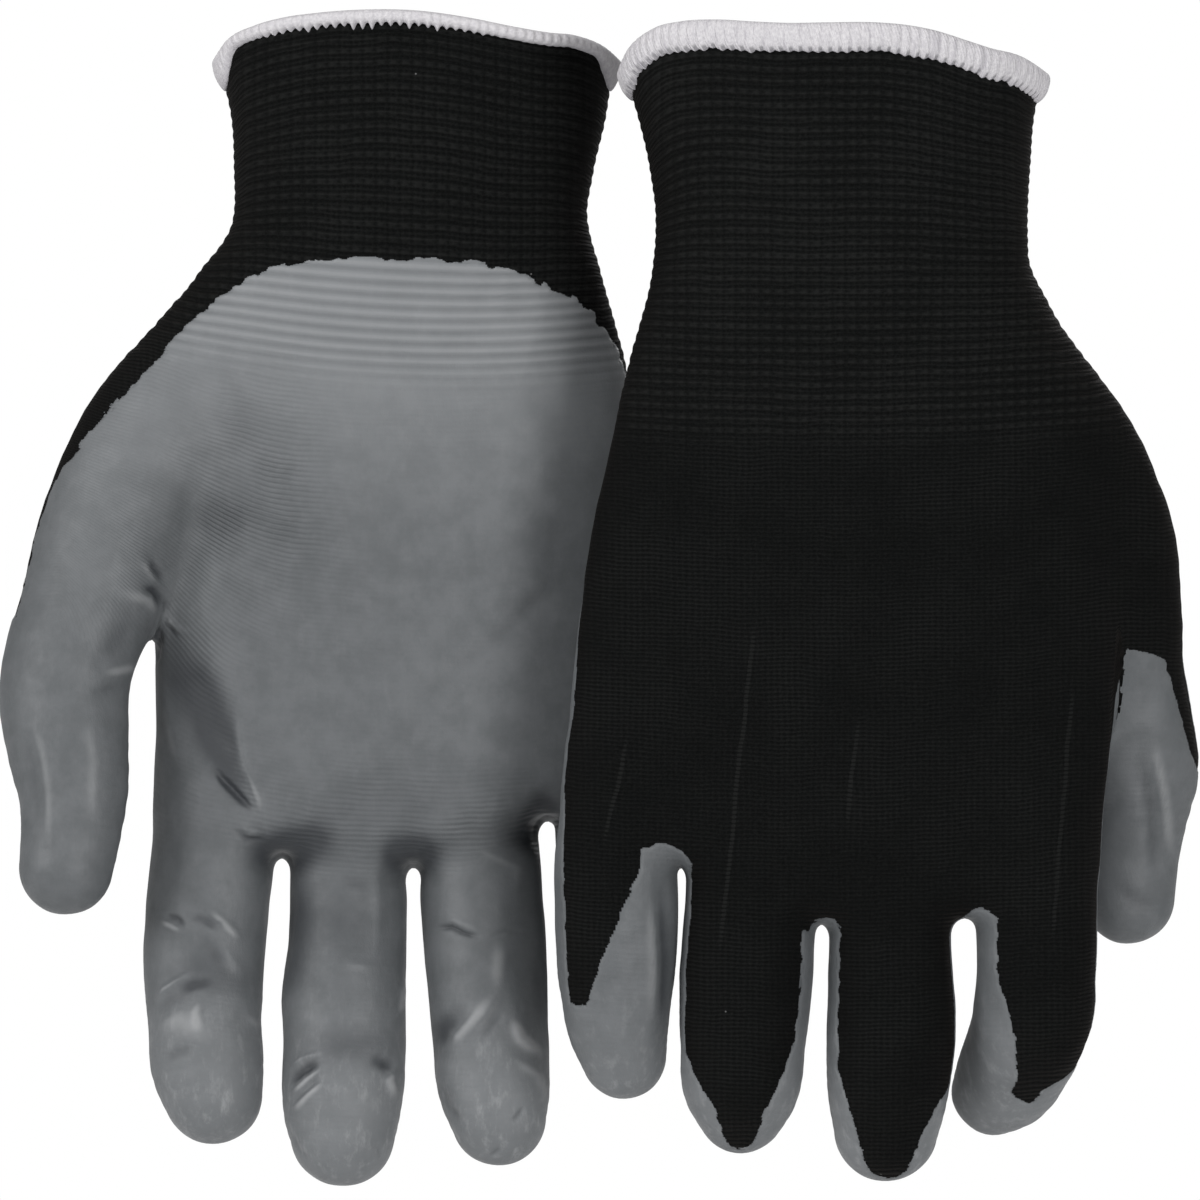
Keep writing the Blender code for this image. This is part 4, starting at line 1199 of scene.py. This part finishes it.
def knit_material(name, dark, lit):
    """Knit of fine rows and columns of stitches, coarser and squarer where the cuff is ribbed, with lint; its
    rib crests are painted lighter, a painted highlight.
    """
    nodes = Nodes(name)
    rest = nodes.reading("rest")
    course, ridge, _ = nodes.parts(nodes.reading("weave"))
    x, y, z = nodes.parts(rest)
    _, facing_y, _ = nodes.parts(nodes.reading("facing"))
    sideways = nodes.ramp(nodes.math("ABSOLUTE", facing_y), 0.35, 0.75)
    wander = nodes.noise(rest, 0.09, 2.0)
    bent_course = nodes.times_add(wander, 1.6, course)
    bent_x = nodes.times_add(wander, 1.2, x)
    courses = nodes.wave(bent_course, COURSE_PITCH)
    wales = nodes.times(nodes.wave(bent_x, WALE_PITCH), sideways)
    waffle = nodes.times(nodes.wave(bent_x, WAFFLE_PITCH), sideways)
    squared = nodes.times_add(waffle, 0.8, 0.2)
    crest = nodes.times(nodes.math("POWER", ridge, 3.0), squared)
    stitches = nodes.times_add(wales, 0.45, courses)
    fuzz = nodes.noise(rest, 2.6, 3.0)
    height = nodes.times_add(fuzz, 0.7, nodes.times_add(crest, 1.4, stitches))
    cloudy = nodes.noise(rest, 0.05, 3.0, 0.6)
    tone = nodes.times(nodes.ramp(stitches, 0.1, 1.5), nodes.ramp(cloudy, 0.3, 0.7, 0.2, 0.6))
    tone = nodes.math("ADD", tone, nodes.ramp(fuzz, 0.35, 0.75, 0.0, 0.35))
    # Painted highlight: the rib crests are painted lighter than the hollows between them.
    tone = nodes.math("ADD", tone, nodes.times(crest, 0.95))
    back = nodes.ramp(facing_y, 0.3, 0.7)
    for start, end in LADDERS:
        line = nodes.times(ladder(nodes, bent_x, z, start, end), courses)
        tone = nodes.times_add(nodes.times(line, back), LADDER_BRIGHT, tone)
    colour = nodes.mix(tone, dark, lit)
    distance, pick = nodes.specks(rest, 0.12)
    chosen, other, _ = nodes.parts(pick)
    speck = nodes.times(nodes.ramp(distance, 0.03, 0.018), nodes.ramp(chosen, 0.86, 0.9))
    colour = nodes.mix(nodes.times(speck, 0.55), colour, grey(0.13))
    nodes.set(
        Base_Color=colour,
        Roughness=0.85,
        Specular_IOR_Level=0.03,
        Sheen_Weight=0.012,
        Sheen_Roughness=0.45,
        Normal=nodes.bump(height, 0.00018),
    )
    nodes.shader.inputs["Sheen Tint"].default_value = SHEEN_TINT
    return nodes.material


def coating_material(name):
    """Dull grey dipped coating, with pores, rows of knit and scuffs; painted shade darkens its folds, rib
    grooves and row gaps, and painted highlight pales its ridges, rib crests, the palm's top, the fingertips
    and the thumb's root.
    """
    nodes = Nodes(name)
    rest = nodes.reading("rest")
    course, shown_rows, fold = nodes.parts(nodes.reading("weave"))
    swell, pale, inside = nodes.parts(nodes.reading("marks"))
    wander = nodes.noise(rest, 0.07, 2.0)
    bent_course = nodes.times_add(wander, 2.0, course)
    courses = nodes.wave(bent_course, COAT_COURSE_PITCH)
    patches = nodes.ramp(nodes.noise(rest, 0.05, 1.0), 0.35, 0.6, 0.35, 1.0)
    rows = nodes.times(courses, nodes.times(shown_rows, patches))
    pores = nodes.noise(rest, 3.0, 2.0, 0.6)
    mottle = nodes.noise(rest, 0.14, 5.0, 0.65)
    streaks = nodes.noise(nodes.stretched(rest, (1.0, 1.0, 0.4)), 0.42, 4.0, 0.7)
    _, _, z = nodes.parts(rest)
    scuffed = nodes.ramp(z, -196.0, -238.0, 0.05, 0.42)
    height = nodes.times_add(pores, 0.5, nodes.times(rows, 4.0))
    height = nodes.times_add(streaks, 0.9, height)
    colour = nodes.mix(nodes.ramp(mottle, 0.3, 0.7), COAT_DARK, COAT_LIGHT)
    # Painted highlight: paler at the top of the palm, at the fingertips and over the thumb's root.
    colour = nodes.mix(nodes.times(pale, 0.5), colour, COAT_PAINTED_HIGHLIGHT)
    # Painted highlight on the rib crests under the coating, and painted shade in the grooves between them.
    colour = nodes.mix(nodes.ramp(swell, 0.0, 0.5, 0.0, 0.22), colour, COAT_WEAR_AND_HIGHLIGHT)
    colour = nodes.mix(nodes.ramp(swell, 0.0, -0.5, 0.0, 0.22), colour, PAINTED_SHADE_AND_DARK_EDGES)
    # Painted shade in the gaps between the rows of knit that show through.
    colour = nodes.mix(nodes.times(rows, 0.3), colour, PAINTED_SHADE_AND_DARK_EDGES)
    # Real scuffs, paler in streaks near the fingertips.
    colour = nodes.mix(nodes.times(nodes.ramp(streaks, 0.48, 0.8), scuffed), colour, COAT_WEAR_AND_HIGHLIGHT)
    # Painted shade in the creases and pockets, and painted highlight on the ridges beside them.
    colour = nodes.mix(nodes.ramp(fold, 0.05, 1.1, 0.0, 0.88), colour, PAINTED_SHADE_AND_DARK_EDGES)
    colour = nodes.mix(nodes.ramp(fold, -0.04, -0.52, 0.0, 0.58), colour, COAT_WEAR_AND_HIGHLIGHT)
    # Darker along the coating's thin border.
    colour = nodes.mix(nodes.ramp(inside, 0.35, 0.0, 0.0, 0.35), colour, PAINTED_SHADE_AND_DARK_EDGES)
    nodes.set(
        Base_Color=colour,
        Roughness=nodes.ramp(mottle, 0.3, 0.7, 0.62, 0.52),
        Specular_IOR_Level=0.3,
        Normal=nodes.bump(height, 0.0001),
    )
    return nodes.material


def hem_material(name):
    """White overlock thread: slanting plies, fluff, grey gaps where the stitches are pulled in, and painted
    shade on the underside of the roll.
    """
    nodes = Nodes(name)
    rest = nodes.reading("rest")
    phase, grooved, low = nodes.parts(nodes.reading("weave"))
    _, _, z = nodes.parts(rest)
    beat = nodes.wave(phase, 1.0)
    threads = nodes.wave(nodes.times_add(z, 0.12, phase), 1 / 3)
    fuzz = nodes.noise(rest, 1.6, 4.0)
    groove = nodes.noise(nodes.vector(phase, 0.0, nodes.times(z, 0.06)), 1.3, 3.0, 0.7)
    gaps = nodes.times(nodes.ramp(groove, 0.52, 0.7), nodes.times(grooved, 0.55))
    lace = nodes.times(nodes.ramp(beat, 0.5, 0.15), nodes.ramp(low, 0.5, 0.8, 0.0, 0.55))
    colour = nodes.mix(nodes.ramp(fuzz, 0.3, 0.7), HEM_SHADE, HEM_WHITE)
    colour = nodes.mix(gaps, colour, HEM_GAP_AND_UNDERSIDE_SHADE)
    colour = nodes.mix(nodes.times(lace, grooved), colour, PAINTED_SHADE_AND_DARK_EDGES)
    # Painted shade on the underside of the roll.
    colour = nodes.mix(nodes.ramp(low, 0.6, 1.0, 0.0, 0.35), colour, HEM_GAP_AND_UNDERSIDE_SHADE)
    height = nodes.times_add(nodes.times(threads, grooved), 0.6, fuzz)
    nodes.set(
        Base_Color=colour,
        Roughness=0.9,
        Specular_IOR_Level=0.15,
        Normal=nodes.bump(height, 0.00014),
    )
    return nodes.material


def build_camera():
    """A long lens that looks level at both gloves, in line with their backs and palms."""
    camera = bpy.data.objects.new("camera", bpy.data.cameras.new("camera"))
    bpy.context.scene.collection.objects.link(camera)
    camera.data.sensor_width = 36.0
    camera.data.lens = camera.data.sensor_width * CAMERA_AWAY / FRAME_WIDE
    camera.data.clip_end = 100.0
    camera.location = (VIEW_MIDDLE[0], -CAMERA_AWAY, VIEW_MIDDLE[1])
    camera.rotation_euler = (math.radians(90), 0.0, 0.0)
    bpy.context.scene.camera = camera


def build_room():
    """White surroundings that shed half of the light that they show."""
    world = bpy.data.worlds.new("white_room")
    world.use_nodes = True
    tree = world.node_tree
    seen, shed = tree.nodes["Background"], tree.nodes.new("ShaderNodeBackground")
    rays, choice = tree.nodes.new("ShaderNodeLightPath"), tree.nodes.new("ShaderNodeMixShader")
    for background, strength in ((seen, 1.0), (shed, ROOM_LIGHT)):
        background.inputs["Color"].default_value = (1.0, 1.0, 1.0, 1.0)
        background.inputs["Strength"].default_value = strength
    tree.links.new(rays.outputs["Is Camera Ray"], choice.inputs[0])
    tree.links.new(shed.outputs[0], choice.inputs[1])
    tree.links.new(seen.outputs[0], choice.inputs[2])
    tree.links.new(choice.outputs[0], tree.nodes["World Output"].inputs["Surface"])
    bpy.context.scene.world = world
    bpy.context.scene.view_settings.view_transform = "Standard"


def build_lights():
    """Soft round lights from the front, the sides, above and behind, all aimed at the middle of the view."""
    aim = Vector((VIEW_MIDDLE[0], 0.0, VIEW_MIDDLE[1]))
    for name, (place, size, power) in LIGHTS.items():
        data = bpy.data.lights.new(name, "AREA")
        data.shape, data.size, data.energy = "DISK", size, power
        light = bpy.data.objects.new(name, data)
        light.location = place
        light.rotation_euler = (aim - Vector(place)).to_track_quat("-Z", "Y").to_euler()
        bpy.context.scene.collection.objects.link(light)


def build_floor():
    """A pale floor well below the gloves."""
    mesh = bpy.data.meshes.new("floor")
    turns = [2 * math.pi * n / FLOOR_SIDES for n in range(FLOOR_SIDES)]
    rim = [(FLOOR_RADIUS * math.cos(turn), FLOOR_RADIUS * math.sin(turn), 0.0) for turn in turns]
    mesh.from_pydata(rim, [], [tuple(range(FLOOR_SIDES))])
    floor = bpy.data.objects.new("floor", mesh)
    floor.location = (VIEW_MIDDLE[0], 0.0, CAD_BOX[0][2] - FLOOR_BELOW)
    pale = Nodes("floor_pale")
    pale.set(Base_Color=grey(0.9), Roughness=0.9, Specular_IOR_Level=0.1)
    mesh.materials.append(pale.material)
    bpy.context.scene.collection.objects.link(floor)


def main():
    materials = {
        "knit": knit_material("black_knit", KNIT_DARK, KNIT_LIT),
        "elastic": knit_material("cuff_inside", KNIT_LIT, grey(0.02)),
        "coating": coating_material("grey_coating"),
        "hem": hem_material("white_overlock"),
    }
    build_room()
    build_lights()
    build_floor()
    build_camera()
    for name, tables in GLOVES.items():
        glove = Glove(name, tables, turned=name == "glove_2")
        build_skin(glove, materials)
        build_lining(glove, materials)
        build_hem(glove, materials)


main()
